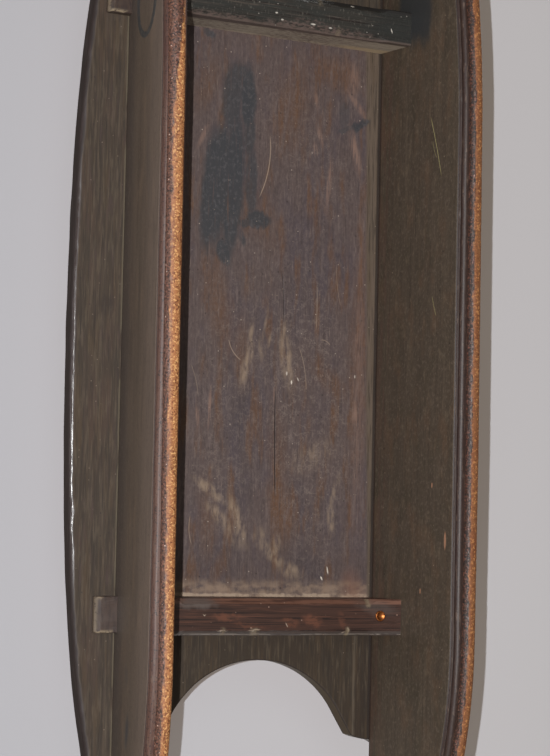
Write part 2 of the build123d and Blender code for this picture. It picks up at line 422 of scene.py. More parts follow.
    def dots(self, pitch, radius, share, shift=0.0):
        """Round specks of dust or paint: one in a share of the cells of a Voronoi pattern."""
        moved = self.add("ShaderNodeMapping", {"Vector": self.place, "Location": (shift, shift, shift)})
        cells = self.add("ShaderNodeTexVoronoi", {"Vector": moved.outputs[0], "Scale": 1000 / pitch})
        away, reach = cells.outputs["Distance"], radius / pitch
        dot = self.add("ShaderNodeMapRange", span(away, 0.6 * reach, 1.2 * reach, 1.0, 0.0))
        lot = self.add("ShaderNodeSeparateColor", {0: cells.outputs["Color"]}).outputs[0]
        drawn = self.add("ShaderNodeMapRange", span(lot, 0.98 - share, 1.02 - share))
        return self.times(dot.outputs[0], drawn.outputs[0])

    def hairs(self, size, shift=0.0):
        """Broken hair-thin curls: the lines along which a smooth noise passes its middle value."""
        moved = self.add("ShaderNodeMapping", {
            "Vector": self.place, "Location": (shift, shift, shift),
        }).outputs[0]
        noise = self.add("ShaderNodeTexNoise", {"Vector": moved, "Scale": 1000 / size, "Detail": 1.0})
        off = self.add("ShaderNodeMath", {0: noise.outputs[0], 1: 0.5}, operation="SUBTRACT")
        off = self.add("ShaderNodeMath", {0: off.outputs[0]}, operation="ABSOLUTE")
        line = self.add("ShaderNodeMapRange", span(off.outputs[0], 0.12 / size, 0.30 / size, 1.0, 0.0))
        broken = self.streaks(1.4 * size, 1.4 * size, 0.50, 0.58, place=moved)
        return self.times(line.outputs[0], broken)

    def ragged(self, amount, grit, place=None):
        """Coordinates pushed about by noise, so that edges drawn in them come out uneven."""
        place = place or self.place
        mapped = self.add("ShaderNodeMapping", {
            "Vector": place, "Scale": (1000 / grit, 400 / grit, 1000 / grit),
        })
        noise = self.add("ShaderNodeTexNoise", {"Vector": mapped.outputs[0], "Scale": 1.0, "Detail": 4.0})
        centred = self.add("ShaderNodeVectorMath", {
            0: noise.outputs["Color"], 1: (0.5, 0.5, 0.5),
        }, operation="SUBTRACT")
        return self.add("ShaderNodeVectorMath", {
            0: centred.outputs[0], 1: (amount, 3 * amount, amount), 2: place,
        }, operation="MULTIPLY_ADD").outputs[0]

    def marks(self, strokes, soft=0.35, place=None):
        """Strongest of several brushed or rubbed marks on a flat face.

        Each mark is an ellipse drawn out along a line: x0, y0, x1, y1 and half width, in millimetres,
        and its strength. With its soft edge it fills the unit circle of its own coordinates, in
        which a spherical gradient falls from its middle to its edge.
        """
        levels = []
        full = 2 * soft / (1 + soft)
        for x0, y0, x1, y1, half, strength in strokes:
            reach = hypot(x1 - x0, y1 - y0) / 2 + half
            whole = mark_frame(place or self.place, x0, y0, x1, y1, half * (1 + soft), reach * (1 + soft))
            local = self.add("ShaderNodeMapping", whole, vector_type="TEXTURE")
            near = self.add("ShaderNodeTexGradient", {"Vector": local.outputs[0]}, gradient_type="SPHERICAL")
            level = span(near.outputs["Fac"], 0.0, full, 0.0, strength)
            levels.append(self.add("ShaderNodeMapRange", level, **EASED).outputs[0])
        return self.strongest(levels)

    def scratches(self, lines, place=None):
        """Strongest of several thin curved scratches on a flat face, each running out at both ends.

        A scratch goes from x0, y0 to x1, y1 with a bow and a half width, in millimetres, and has a
        strength. In its own frame, where V runs from -1 to 1 along it, its line is U = bow (1 - V²).
        """
        levels = []
        for x0, y0, x1, y1, bow, half, strength in lines:
            reach = hypot(x1 - x0, y1 - y0) / 2
            whole = mark_frame(place or self.place, x0, y0, x1, y1, half, reach)
            local = self.add("ShaderNodeMapping", whole, vector_type="TEXTURE")
            u, v = self.add("ShaderNodeSeparateXYZ", {0: local.outputs[0]}).outputs[:2]
            square = self.times(v, v)
            off = self.add("ShaderNodeMath", {0: square, 1: bow / half, 2: u}, operation="MULTIPLY_ADD")
            off = self.add("ShaderNodeMath", {0: off.outputs[0], 1: bow / half}, operation="SUBTRACT")
            off = self.add("ShaderNodeMath", {0: off.outputs[0]}, operation="ABSOLUTE")
            line = self.add("ShaderNodeMapRange", span(off.outputs[0], 0.4, 1.2, strength, 0.0))
            ends = self.add("ShaderNodeMapRange", span(square, 0.6, 1.0, 1.0, 0.0))
            levels.append(self.times(line.outputs[0], ends.outputs[0]))
        return self.strongest(levels)


# Marks on the panel under the deck, in millimetres from the middle of the sled: x0, y0, x1, y1,
# half width and strength.
SMEARS = (
    (-19, -150, -18, -106, 7.5, 1.0), (-36, -148, -35, -102, 9.5, 0.85), (-51, -86, -57, 6, 9.5, 1.0),
    (-29, -101, -35, 10, 10.5, 1.0), (-42, -94, -48, -1, 10.0, 1.0), (-41, 10, -39, 20, 7.0, 1.0),
    (-14, -76, -13, -22, 6.0, 0.80), (-11, -18, -1, -16, 7.5, 1.0), (-23, -13, -10, -13, 5.0, 0.85),
    (-22, -2, -21, 6, 3.2, 0.75), (-16, -106, -17, -80, 5.5, 0.85), (-27, -152, -27, -135, 10.0, 0.85),
    (103, -117, 90, -109, 3.8, 0.95), (90, -109, 76, -105, 2.6, 0.60), (80, -126, 80, -114, 6.0, 0.42),
    (-61, -186, -57, -184, 4.0, 0.8),
)
RUBBED = (
    (-10, 81, -11, 104, 2.3, 0.8), (-11, 104, -18, 132, 3.6, 0.9), (5, 71, 0, 99, 1.3, 0.6),
    (10, 89, 5, 104, 1.6, 0.6), (-1, 95, 0, 110, 2.0, 0.5), (23, 77, 23, 96, 1.6, 0.7),
    (23, 96, 28, 128, 5.0, 0.9), (-58, 228, -40, 241, 3.8, 0.9), (-46, 252, -34, 263, 4.4, 0.95),
    (-26, 247, -15, 275, 4.4, 0.95), (-29, 268, -19, 281, 5.4, 0.6), (-44, 214, -43, 217, 3.1, 0.6),
    (4, 282, 23, 300, 4.6, 0.9), (19, 279, 21, 291, 3.4, 0.9), (4, 271, 4, 275, 4.5, 0.5),
    (30, 306, 38, 309, 5.4, 0.8), (80, 224, 73, 247, 2.4, 0.6), (73, 247, 75, 271, 2.9, 0.8),
    (43, 206, 63, 196, 9.2, 0.40),
)
PALE_STREAKS = (
    (89, -101, 95, -72, 3.2, 0.9), (85, -142, 100, -123, 2.6, 0.7), (67, -74, 64, -36, 2.0, 0.7),
    (50, -137, 52, -128, 2.0, 0.6), (53, -106, 57, -93, 1.7, 0.7), (50, -90, 51, -83, 2.0, 0.6),
    (-60, -97, -66, -83, 2.0, 0.6), (97, 82, 101, 111, 2.2, 0.7), (97, 151, 97, 170, 2.7, 0.8),
    (-50, 145, -51, 173, 1.3, 0.8), (-63, 157, -62, 174, 1.5, 0.7), (14, 138, 14, 150, 1.2, 0.7),
    (89, -164, 89, -143, 4.5, 0.6), (100, 0, 100, 260, 5.0, 0.30),
)
RED_PATCHES = (
    (-51, 33, -39, 87, 11, 0.7), (-21, 87, -19, 125, 7, 0.6), (19, 233, 24, 269, 10, 0.95),
    (97, 52, 100, 193, 8, 0.6), (61, -164, 80, -158, 12, 0.8), (33, -150, 23, -111, 16, 0.5),
    (-63, -126, -55, -149, 9, 0.6), (80, 138, 61, 122, 8, 0.6), (-34, 298, -40, 311, 6, 0.7),
    (-52, 243, -50, 284, 8, 0.6), (15, 177, 21, 223, 9, 0.6), (-20, -40, 5, 0, 12, 0.4),
)
GREY_PATCHES = (
    (-15, 151, -19, 188, 16, 0.8), (-24, 293, -50, 321, 13, 0.6), (43, 297, 74, 322, 15, 0.6),
    (37, 55, 47, 8, 24, 0.4), (-15, 224, -18, 243, 12, 0.6), (41, 232, 42, 260, 9, 0.5),
)
SCRATCHED = (
    (4, -96, -6, -36, 4.5, 0.55, 0.9), (-33, 96, -20, 115, -2.5, 0.5, 0.8), (55, 40, 55, 84, 0.6, 0.5, 0.55),
    (-67, 258, -65, 285, -2.0, 0.5, 0.6), (38, 100, 46, 140, 2.0, 0.5, 0.5), (60, 92, 70, 97, 1.5, 0.5, 0.6),
    (-70, 120, -62, 150, 1.5, 0.4, 0.4), (75, 20, 80, 60, -1.5, 0.4, 0.4),
)
# Painted glints: small white highlights on the panel, laid as pale glossy marks.
PAINTED_GLINTS = (
    (26, 124, 26, 126, 0.7, 0.7), (31, 132, 31, 134, 0.7, 1.0), (71, 304, 72, 309, 0.6, 0.9),
    (65, 313, 66, 315, 0.7, 1.0), (37, 129, 38, 131, 0.6, 0.6), (96, 124, 96, 126, 0.5, 0.6),
)


def deck_material():
    """Old painted pine board, planed: thin paint on the underside, varnish where the hand reaches.

    To the eye it is dull, with fine lengthwise grain, smears of dark paint, rubbed patches, small pale chips
    and a few painted glints of light, and the arrises are darker and glossier.
    """
    hue = colours()
    coat = Coats("painted_pine_board")
    axes = coat.add("ShaderNodeSeparateXYZ", {0: coat.place}).outputs
    aside = coat.add("ShaderNodeMath", {0: axes["X"]}, operation="ABSOLUTE").outputs[0]
    uneven = coat.ragged(0.005, 7.0)
    jagged = coat.ragged(0.0016, 9.0)
    wobbly = coat.add("ShaderNodeSeparateXYZ", {0: jagged}).outputs

    # Varnish on the overhang and the ends: browner in places, darker past the cleats, with a knot.
    coat.wood(linear("#3c3127"), 0.62)
    coat.streaky(
        (), ("#46342a", 0.7, 20, 110, 0.46, 0.7), ("#352b22", 0.6, 9, 90, 0.5, 0.78, 4),
        ("#574a3d", 0.45, 3, 70, 0.5, 0.74, 6), ("#453532", 0.6, 5, 30, 0.52, 0.72, 9),
    )
    knot = coat.marks([(-152, 68, -152, 74, 5.5, 0.8), (-133, -150, -134, -146, 4, 0.6)], 0.5, place=uneven)
    coat.lay("#2f251f", knot)
    ends = coat.add(
        "ShaderNodeMapRange", span(axes["Y"], REAR_HIGH.y - 0.008, REAR_HIGH.y + 0.004)
    ).outputs[0]
    fore = coat.add(
        "ShaderNodeMapRange", span(axes["Y"], FRONT_LOW.y - 0.004, FRONT_LOW.y + 0.008, 1.0, 0.0)
    ).outputs[0]
    inside = coat.add("ShaderNodeMapRange", span(aside, 0.125, 0.13, 1.0, 0.0)).outputs[0]
    coat.lay("#34291e", ends, inside, 0.85)
    coat.lay("#3a332b", fore, inside, 0.75)
    # Painted highlight: a pale line at the inner edge of the darker strip at each end, standing for light on
    # a low ridge there.
    lip = coat.times(ends, inside, coat.band(wobbly["X"], 0.0994, 0.1022, 0.001))
    coat.lay("#6f6456", lip, 0.5)
    coat.lay("#2c2017", ends, inside, coat.band(wobbly["X"], 0.1016, 0.114, 0.001), 0.6)

    # The panel between the cleats, up to a line that runs out slightly towards the tail.
    slant = coat.add(
        "ShaderNodeMath", {0: wobbly["Y"], 1: -0.021, 2: wobbly["X"]}, operation="MULTIPLY_ADD"
    ).outputs[0]
    lean = coat.add(
        "ShaderNodeMath", {0: axes["X"], 1: -tan(sizes().front_skew), 2: axes["Y"]}, operation="MULTIPLY_ADD"
    ).outputs[0]
    front_y = (FRONT_LOW.y + FRONT_HIGH.y) / 2
    across = coat.band(slant, -0.14, 0.1052, 0.0022)
    along = coat.times(
        coat.band(lean, front_y, 1.0, 0.001), coat.band(axes["Y"], -1.0, REAR_LOW.y + 0.004, 0.001)
    )
    under = coat.add(
        "ShaderNodeMapRange", span(axes["Z"], DECK_Z + 0.001, DECK_Z + 0.002, 1.0, 0.0)
    ).outputs[0]
    between = coat.times(along, under, inside)
    coat.lay("#6a5b4e", between, 0.75)
    # The varnish is mottled at a millimetre or so, drawn twice as coarse so that it shows.
    coat.streaky(
        (), ("#4a3a28", 0.5, 6, 70, 0.46, 0.68, 17), ("#5a4e40", 0.5, 2.0, 22, 0.48, 0.68, 13),
        ("#2a221b", 0.6, 1.8, 34, 0.48, 0.66, 15),
    )
    panel = coat.times(across, between)
    coat.lay(tuple(hue.panel), panel, 0.93, rough=0.58)
    coat.lay("#40383c", panel, coat.marks(GREY_PATCHES, 0.9, place=uneven), 0.85)
    coat.lay("#4c4247", panel, coat.streaks(26, 90, 0.42, 0.66, 2), 0.7)
    coat.lay(tuple(hue.panel_red), panel, coat.marks(RED_PATCHES, 0.9, place=uneven), 0.85)
    coat.streaky(
        (panel,), (tuple(hue.panel_red), 0.8, 12, 70, 0.5, 0.7), ("#6b5d5a", 0.6, 5, 34, 0.52, 0.76, 5),
    )
    coat.lay("#403534", panel, coat.streaks(1.5, 34, 0.5, 0.7, 8), 0.6, lift=-0.03)
    coat.lay("#7a6a63", panel, coat.streaks(1.7, 16, 0.55, 0.75, 3), 0.55)
    # The brush-marked paint is mottled at 2 mm, drawn a little coarser than it is so that it shows.
    coat.streaky(
        (panel,), ("#6d5f5a", 0.28, 2.2, 4.5, 0.46, 0.66, 7), ("#3a3030", 0.34, 2.4, 5.0, 0.5, 0.68, 1),
    )

    # Paint smears, laid with a brush along the board.
    brushed = coat.streaks(2.0, 36.0, 0.26, 0.44, detail=4.0)
    smear = coat.times(coat.marks(SMEARS, 0.28, place=uneven), brushed, under)
    coat.lay("#33363a", smear, 0.86, rough=0.5)
    coat.lay("#5d5a5c", smear, coat.streaks(3, 4, 0.5, 0.7, 2), 0.5)

    # Rubbed places and pale streaks.
    broken = coat.streaks(4.5, 15.0, 0.34, 0.66, 5, detail=5.0)
    rubbed = coat.times(coat.marks(RUBBED, 0.85, place=jagged), broken, panel)
    coat.lay("#97826d", rubbed, 0.95, rough=0.68)
    split = coat.streaks(1.4, 18.0, 0.34, 0.58, 9, detail=4.0)
    coat.lay("#866a5d", coat.marks(PALE_STREAKS, 0.9, place=jagged), split, panel, rough=0.6)
    by_cleat = coat.times(coat.band(wobbly["Y"], 0.318, 0.34, 0.005), panel)
    chalky = coat.streaks(11.0, 8.0, 0.28, 0.66, 11, detail=5.0)
    coat.lay("#8f7967", by_cleat, chalky, 0.85, rough=0.7)
    edge_line = coat.times(coat.band(wobbly["Y"], 0.3285, 0.34, 0.0008), panel)
    coat.lay("#ab9682", edge_line, coat.streaks(12, 12, 0.35, 0.55), 0.8)
    corner = coat.marks([(96, 318, 98, 328, 9, 0.9)], 0.9, place=uneven)
    coat.lay("#7f5642", corner, panel, 0.5)

    # Chips, dust, hair-thin scratches, the crack along the grain, and painted glints: small white highlights.
    busy = coat.marks(
        [(40, 60, 55, 260, 45, 1.0), (-20, 60, -40, 260, 40, 0.7), (20, -120, 60, -60, 40, 0.6)], 0.6
    )
    coat.lay("#94857b", coat.hairs(5.0), busy, panel, 0.2)
    coat.lay("#94857b", coat.hairs(3.6, 5.0), busy, panel, 0.16)
    coat.lay("#a08c7a", coat.scratches(SCRATCHED), under, 0.8)
    crack = coat.scratches([(15, 136, 17, 240, -0.8, 0.55, 1.0), (19, 28, 22, 76, 0.5, 0.5, 0.6)])
    coat.lay("#241a17", crack, under, lift=-0.3)
    coat.lay("#a5968a", coat.dots(7.0, 0.6, 0.3), panel, 0.9)
    coat.lay("#8d7d70", coat.dots(5.0, 0.55, 0.14, 3.0), under, 0.6)
    coat.lay("#2d2421", coat.dots(8.0, 0.9, 0.25, 7.0), under, 0.7)
    # Painted highlights: the glints.
    coat.lay("#d9cfc2", coat.marks(PAINTED_GLINTS, 0.5), under, rough=0.3)

    # Dirt in the joints with the runners, and the line where varnish stood against them outside.
    coat.lay("#241a15", coat.band(aside, 0.1152, 0.119, 0.0008), under, 0.85)
    bead_line = coat.times(coat.band(aside, 0.1374, 0.139, 0.0004), under)
    coat.lay("#5f5645", bead_line, coat.streaks(30, 60, 0.42, 0.5), 0.7)

    # The arrises and the edge of the board.
    edge = coat.band(axes["Z"], DECK_Z + 0.0002, DECK_TOP + 0.02, 0.00015)
    coat.lay("#261b19", edge, rough=0.6)
    coat.lay("#372b2b", edge, coat.streaks(4, 30, 0.48, 0.68, 2), 0.6, rough=0.48)
    polished = coat.times(
        coat.band(axes["Z"], DECK_Z + 0.00005, DECK_Z + 0.0012, 0.00004),
        coat.band(axes["Y"], -0.04, 0.31, 0.04), coat.band(axes["X"], -0.3, -0.1, 0.01),
        coat.streaks(5, 14, 0.32, 0.42, 3),
    )
    coat.lay("#3a2f2d", polished, rough=0.2)
    cut = coat.times(edge, inside, coat.add("ShaderNodeMath", {0: ends, 1: fore}, operation="ADD").outputs[0])
    coat.lay("#564a3c", cut, coat.band(axes["Z"], DECK_Z + 0.001, DECK_TOP - 0.003, 0.0008), rough=0.62)

    # The top: red-brown paint, worn to the wood along the middle.
    top = coat.band(axes["Z"], DECK_TOP - 0.0012, DECK_TOP + 0.02, 0.0005)
    coat.lay(tuple(hue.top), top, rough=0.62)
    coat.lay("#452a22", top, coat.streaks(16, 60, 0.45, 0.7, 3), 0.6)
    seat = coat.marks(
        [(0, 1000 * DECK_MIDDLE - 130, 0, 1000 * DECK_MIDDLE + 190, 130, 1.0)], 0.5, place=uneven
    )
    threadbare = coat.streaks(3.6, 60.0, 0.42, 0.62, detail=5.0)
    coat.lay(tuple(hue.bare), top, seat, threadbare, 0.9, rough=0.65)
    coat.lay("#33201a", top, coat.streaks(1.3, 50, 0.52, 0.68, 6), 0.7, lift=-0.05)
    coat.lay("#a38b70", top, coat.dots(14.0, 1.4, 0.3, 4.0))
    return coat.done(specular=0.45)


# Marks on the leaning faces of the runners, in millimetres: z0, y0, z1, y1, half width and strength.
INNER_DARK = ((101, -232, 97, -200, 15, 1.0), (76, -228, 74, -196, 14, 0.95), (84, -240, 84, -205, 20, 1.0))
INNER_SCRATCHES = (
    (60, -112, 41, -54, -0.8, 0.45, 0.95), (56, -89, 49, -72, 1.0, 0.4, 0.5), (53, 54, 46, 73, 0.3, 0.4, 0.7),
)
INNER_CHIPS = (
    (26, 270, 26, 282, 1.6, 0.8), (12, 120, 12, 129, 1.3, 0.8), (10, 249, 10, 256, 1.3, 0.8),
    (122, 350, 120, 353, 1.0, 0.7), (64, 321, 64, 324, 0.9, 0.9), (48, 225, 48, 228, 0.9, 0.9),
)
OUTER_SPOTS = ((87, 440, 90, 456, 5.0, 0.8), (96, 395, 92, 402, 4.0, 0.4), (60, -60, 56, -20, 6.0, 0.3))


def runner_material(side):
    """Hardwood plank under old olive-brown varnish: satin, mottled, with fine grain and scratches."""
    hue = colours()
    coat = Coats("varnished_ash_plank_" + ("left" if side < 0 else "right"))
    axes = coat.add("ShaderNodeSeparateXYZ", {0: coat.place}).outputs
    face = coat.add("ShaderNodeCombineXYZ", {"X": axes["Z"], "Y": axes["Y"]}).outputs[0]
    uneven = coat.ragged(0.004, 7.0, place=face)
    outside = coat.add("ShaderNodeAttribute", attribute_name="outside").outputs["Fac"]
    foot = coat.add("ShaderNodeAttribute", attribute_name="foot").outputs["Fac"]
    coat.wood(tuple(hue.varnish), 0.5)
    coat.streaky(
        (), ("#5a4636", 0.7, 18, 50, 0.47, 0.72), ("#40382c", 0.7, 14, 36, 0.48, 0.75, 3),
        ("#6a5b4b", 0.5, 6, 14, 0.52, 0.76, 6),
    )

    # The outer faces are greyer, with painted shade that makes them dark up under the deck's overhang and
    # painted light that makes them paler towards the foot.
    # A grain too fine for this slanting view is drawn 10 mm wide there, so that it shows.
    coat.lay("#5f5146", outside, 0.75)
    coat.streaky(
        (outside,), ("#483c33", 0.7, 10, 130, 0.46, 0.66, 12), ("#6f5c4c", 0.6, 12, 60, 0.5, 0.7, 14),
    )
    # Painted light: paler towards the foot, below the overhang's shade.
    low = coat.add("ShaderNodeMapRange", span(axes["Z"], 0.085, 0.025), **EASED).outputs[0]
    coat.lay("#7b6a60", outside, low, 0.6)
    # Painted shade in the corner under the deck's overhang.
    high = coat.add("ShaderNodeMapRange", span(axes["Z"], 0.1, 0.13), **EASED).outputs[0]
    coat.lay("#3f3734", outside, high, 0.7)
    coat.lay("#3a3129", coat.streaks(1.5, 40, 0.5, 0.7, 2), 0.5, lift=-0.02)
    coat.streaky((), ("#75675a", 0.35, 2.2, 3.4, 0.5, 0.7, 8), ("#352c25", 0.4, 2.4, 3.8, 0.52, 0.72, 5))
    coat.lay("#94836f", coat.dots(11.0, 0.6, 0.22), 0.8)
    coat.lay("#80705f", coat.dots(6.0, 0.5, 0.12, 5.0), 0.7)
    coat.lay("#241c18", coat.dots(12.0, 1.0, 0.25, 9.0), 0.8)
    within = coat.add("ShaderNodeMath", {0: 1.0, 1: outside}, operation="SUBTRACT").outputs[0]
    if side > 0:
        coat.lay(tuple(hue.ink), coat.marks(INNER_DARK, 0.3, place=uneven), within, 0.92, rough=0.45)
        coat.lay("#a39a6c", coat.scratches(INNER_SCRATCHES, place=face), within)
        coat.lay("#a87c62", coat.marks(INNER_CHIPS, 0.3, place=face), within)
    else:
        coat.lay("#39393c", coat.marks(OUTER_SPOTS, 0.6, place=uneven), outside)
    joint = coat.band(axes["Z"], DECK_Z - 0.0026, DECK_Z + 0.01, 0.0008)
    coat.lay("#2a1d18", joint, 0.75)
    stain = coat.times(coat.band(axes["Z"], DECK_Z - 0.022, DECK_Z, 0.006), within)
    coat.lay("#553d35", stain, coat.streaks(5, 60, 0.45, 0.6), 0.35)

    # The foot: a bead rubbed to a dark gloss, darker in the groove above it.
    coat.lay("#32211a" if side > 0 else "#563a2f", foot, rough=0.5)
    coat.lay("#372725" if side > 0 else "#432a26", foot, coat.streaks(2.4, 60, 0.44, 0.62), 0.7, rough=0.5)
    worn = coat.times(foot, coat.streaks(1.8, 14.0, 0.54, 0.68, 4, detail=5.0))
    coat.lay("#6a574b", worn, 0.6, rough=0.5)
    coat.lay("#211614", foot, coat.flecks(1.8, 0.2, 6.0), 0.8)
    groove = coat.band(foot, 0.15, 0.85, 0.1)
    coat.lay("#221a1b", groove, 0.8)
    return coat.done(specular=0.5)


# Marks on the lower face of the rear cleat, along it and across it from its middle, in millimetres.
REAR_STAINS = (
    (-58, 0, -40, 0, 3.5, 0.7), (8, 4, 16, 5, 4.0, 0.6), (30, 2, 38, 4, 5.0, 0.7), (-40, 6, -12, 8, 2.0, 0.4),
    (62, -2, 66, 8, 3.0, 0.4),
)
REAR_CHIPS = (
    (-28, 11.5, -18, 11, 0.5, 0.7), (-72, -3, -70, -3, 0.5, 0.7), (-58, 12.5, -50, 12.8, 0.4, 0.7),
    (70, 10, 71, 13, 0.7, 0.6), (64, 14.5, 67, 14, 0.6, 0.7), (8, 7, 9, 8, 0.5, 0.7),
)
FRONT_CHIPS = (
    (-14, 4, -13, 4, 0.7, 0.9), (-8, 9.5, -7, 9.5, 0.7, 0.8), (22, 9.5, 25, 9.5, 0.7, 0.9),
    (62, -13, 64, -13, 0.7, 0.9), (103, 3, 104, 6, 0.5, 0.9), (40, 10.5, 42, 10.5, 0.6, 0.8),
    (-26, -9, -25, -8, 0.5, 0.8),
)
FRONT_RUBBED = ((-20, 13, 84, 13, 3.6, 0.9), (-100, 14, -30, 14, 2.4, 0.7), (8, 8, 40, 9, 3.0, 0.6))


def cleat_material(name, colour, front=False, middle=None, skew=0.0):
    """Stained hardwood, planed: dark, with long grain across the sled, chips on the arrises."""
    coat = Coats(name)
    local = coat.add(
        "ShaderNodeMapping",
        {"Vector": coat.place, "Location": (0.0, middle or 0.0, 0.0), "Rotation": (0.0, 0.0, skew)},
        vector_type="TEXTURE",
    ).outputs[0]
    axes = coat.add("ShaderNodeSeparateXYZ", {0: local}).outputs
    grain = coat.add("ShaderNodeCombineXYZ", {"X": axes["Y"], "Y": axes["X"], "Z": axes["Z"]}).outputs[0]
    coat.wood(colour, 0.45, grain_depth=0.06, place=grain)
    coat.lay("#1d1311", coat.streaks(1.3, 130, 0.54, 0.62, 3, place=grain), 0.9, lift=-0.06)
    coat.lay("#6a5d54" if front else "#6f4838", coat.streaks(1.3, 50, 0.56, 0.7, 5, place=grain), 0.55)
    chipped = coat.add("ShaderNodeAttribute", attribute_name="chipped").outputs["Fac"]
    uneven = coat.ragged(0.003, 6.0, place=local)
    if middle is None:
        coat.lay("#a08c7c", coat.dots(9.0, 0.8, 0.3))
        return coat.done(specular=0.5)
    aside = coat.add("ShaderNodeMath", {0: axes["X"]}, operation="ABSOLUTE").outputs[0]
    body = coat.add("ShaderNodeMapRange", span(aside, 0.13, 0.132, 1.0, 0.0)).outputs[0]
    bottom = coat.add(
        "ShaderNodeMapRange", span(axes["Z"], FRONT_LOW.z + 0.008, FRONT_LOW.z + 0.012, 1.0, 0.0)
    ).outputs[0]
    if front:
        coat.lay("#282926", coat.streaks(5, 40, 0.46, 0.64, 7, place=grain), 0.8, rough=0.55)
        coat.lay("#6f6b63", coat.streaks(1.6, 5, 0.56, 0.74, 2), 0.6)
        far_end = coat.band(axes["X"], 0.085, 0.2, 0.012)
        coat.lay("#262725", far_end, bottom, 0.7)
        nose_side = coat.band(axes["Y"], -0.03, -0.0118, 0.0012)
        coat.lay("#1d1a18", nose_side, body, 0.9, rough=0.7)
        # The side behind: unpainted next to the deck, its paint rubbed red-brown towards the arris.
        behind = coat.band(axes["Y"], 0.014, 0.03, 0.0008)
        height = coat.add("ShaderNodeSeparateXYZ", {0: uneven}).outputs["Z"]
        paint_z = coat.add(
            "ShaderNodeMath", {0: axes["X"], 1: 0.045, 2: height}, operation="MULTIPLY_ADD"
        ).outputs[0]
        bare = coat.times(behind, body, coat.band(paint_z, DECK_Z - 0.036, 1.0, 0.0025))
        coat.lay("#62554e", behind, body, 0.8)
        coat.lay("#a99c8b", bare, rough=0.6)
        coat.lay("#8d8276", bare, coat.streaks(4, 60, 0.46, 0.66, 2, place=grain), 0.6)
        lip = coat.times(behind, body, coat.band(paint_z, DECK_Z - 0.006, 1.0, 0.002))
        coat.lay("#b9a994", lip, 0.8, rough=0.5)
        # Painted highlight: a golden-white gleam on the side behind, at its right end next to the deck.
        painted_end_highlight = coat.times(
            behind, coat.band(axes["X"], 0.07, 0.13, 0.012), coat.band(paint_z, DECK_Z - 0.009, 1.0, 0.003)
        )
        coat.lay("#c4ad8b", painted_end_highlight, 0.8, rough=0.45)
        coat.lay(
            "#665650", coat.marks(FRONT_RUBBED, 0.5, place=uneven),
            coat.streaks(2, 5, 0.4, 0.6, 9, place=grain),
        )
        coat.lay("#cfc8be", coat.marks(FRONT_CHIPS, 0.5, place=local), rough=0.35)
        coat.lay("#9a938b", coat.dots(6.0, 0.6, 0.35), bottom, 0.8)
        tenon = "#46372f"
    else:
        chamfer = coat.times(coat.band(axes["Y"], -0.03, -0.012, 0.001), body)
        coat.lay("#825c4c", chamfer, 0.75)
        coat.lay("#3b2823", chamfer, coat.streaks(3, 50, 0.5, 0.62, 8, place=grain), 0.7)
        grey = coat.marks([(-92, -13, -66, -13, 5, 0.9), (84, -12, 112, -6, 6, 0.4)], 0.5, place=uneven)
        coat.lay("#625853", grey, 0.8)
        coat.lay(
            "#6d4433", coat.marks(REAR_STAINS, 0.5, place=uneven),
            coat.streaks(3, 12, 0.36, 0.56, 4, place=grain),
        )
        back = coat.times(coat.band(axes["Y"], 0.0125, 0.03, 0.0006), body)
        coat.lay("#4c4440", back, 0.7, rough=0.62)
        # Painted highlight: a thin, broken pale line along the lower arris at the back.
        line = coat.times(
            coat.band(axes["Y"], 0.0148, 0.0158, 0.0003), body,
            coat.streaks(4, 22, 0.42, 0.52, 6, place=grain),
        )
        coat.lay("#958b81", line, 0.7, rough=0.5)
        coat.lay("#bba997", coat.marks(REAR_CHIPS, 0.6, place=uneven), body, rough=0.45)
        coat.lay("#a28474", coat.dots(8.0, 0.7, 0.3), bottom, 0.8)
        tenon = "#493d37"
    # The tenons outside the runners: handled smooth, their grain showing as short lines.
    ends = coat.add("ShaderNodeMath", {0: 1.0, 1: body}, operation="SUBTRACT").outputs[0]
    coat.lay(tenon, ends, 0.85, rough=0.4)
    coat.lay("#352b29", ends, coat.streaks(2.6, 16, 0.44, 0.62, 3), 0.75)
    coat.lay("#8f7f68", chipped, coat.streaks(3, 3, 0.36, 0.48, 5), rough=0.5)
    return coat.done(specular=0.5)


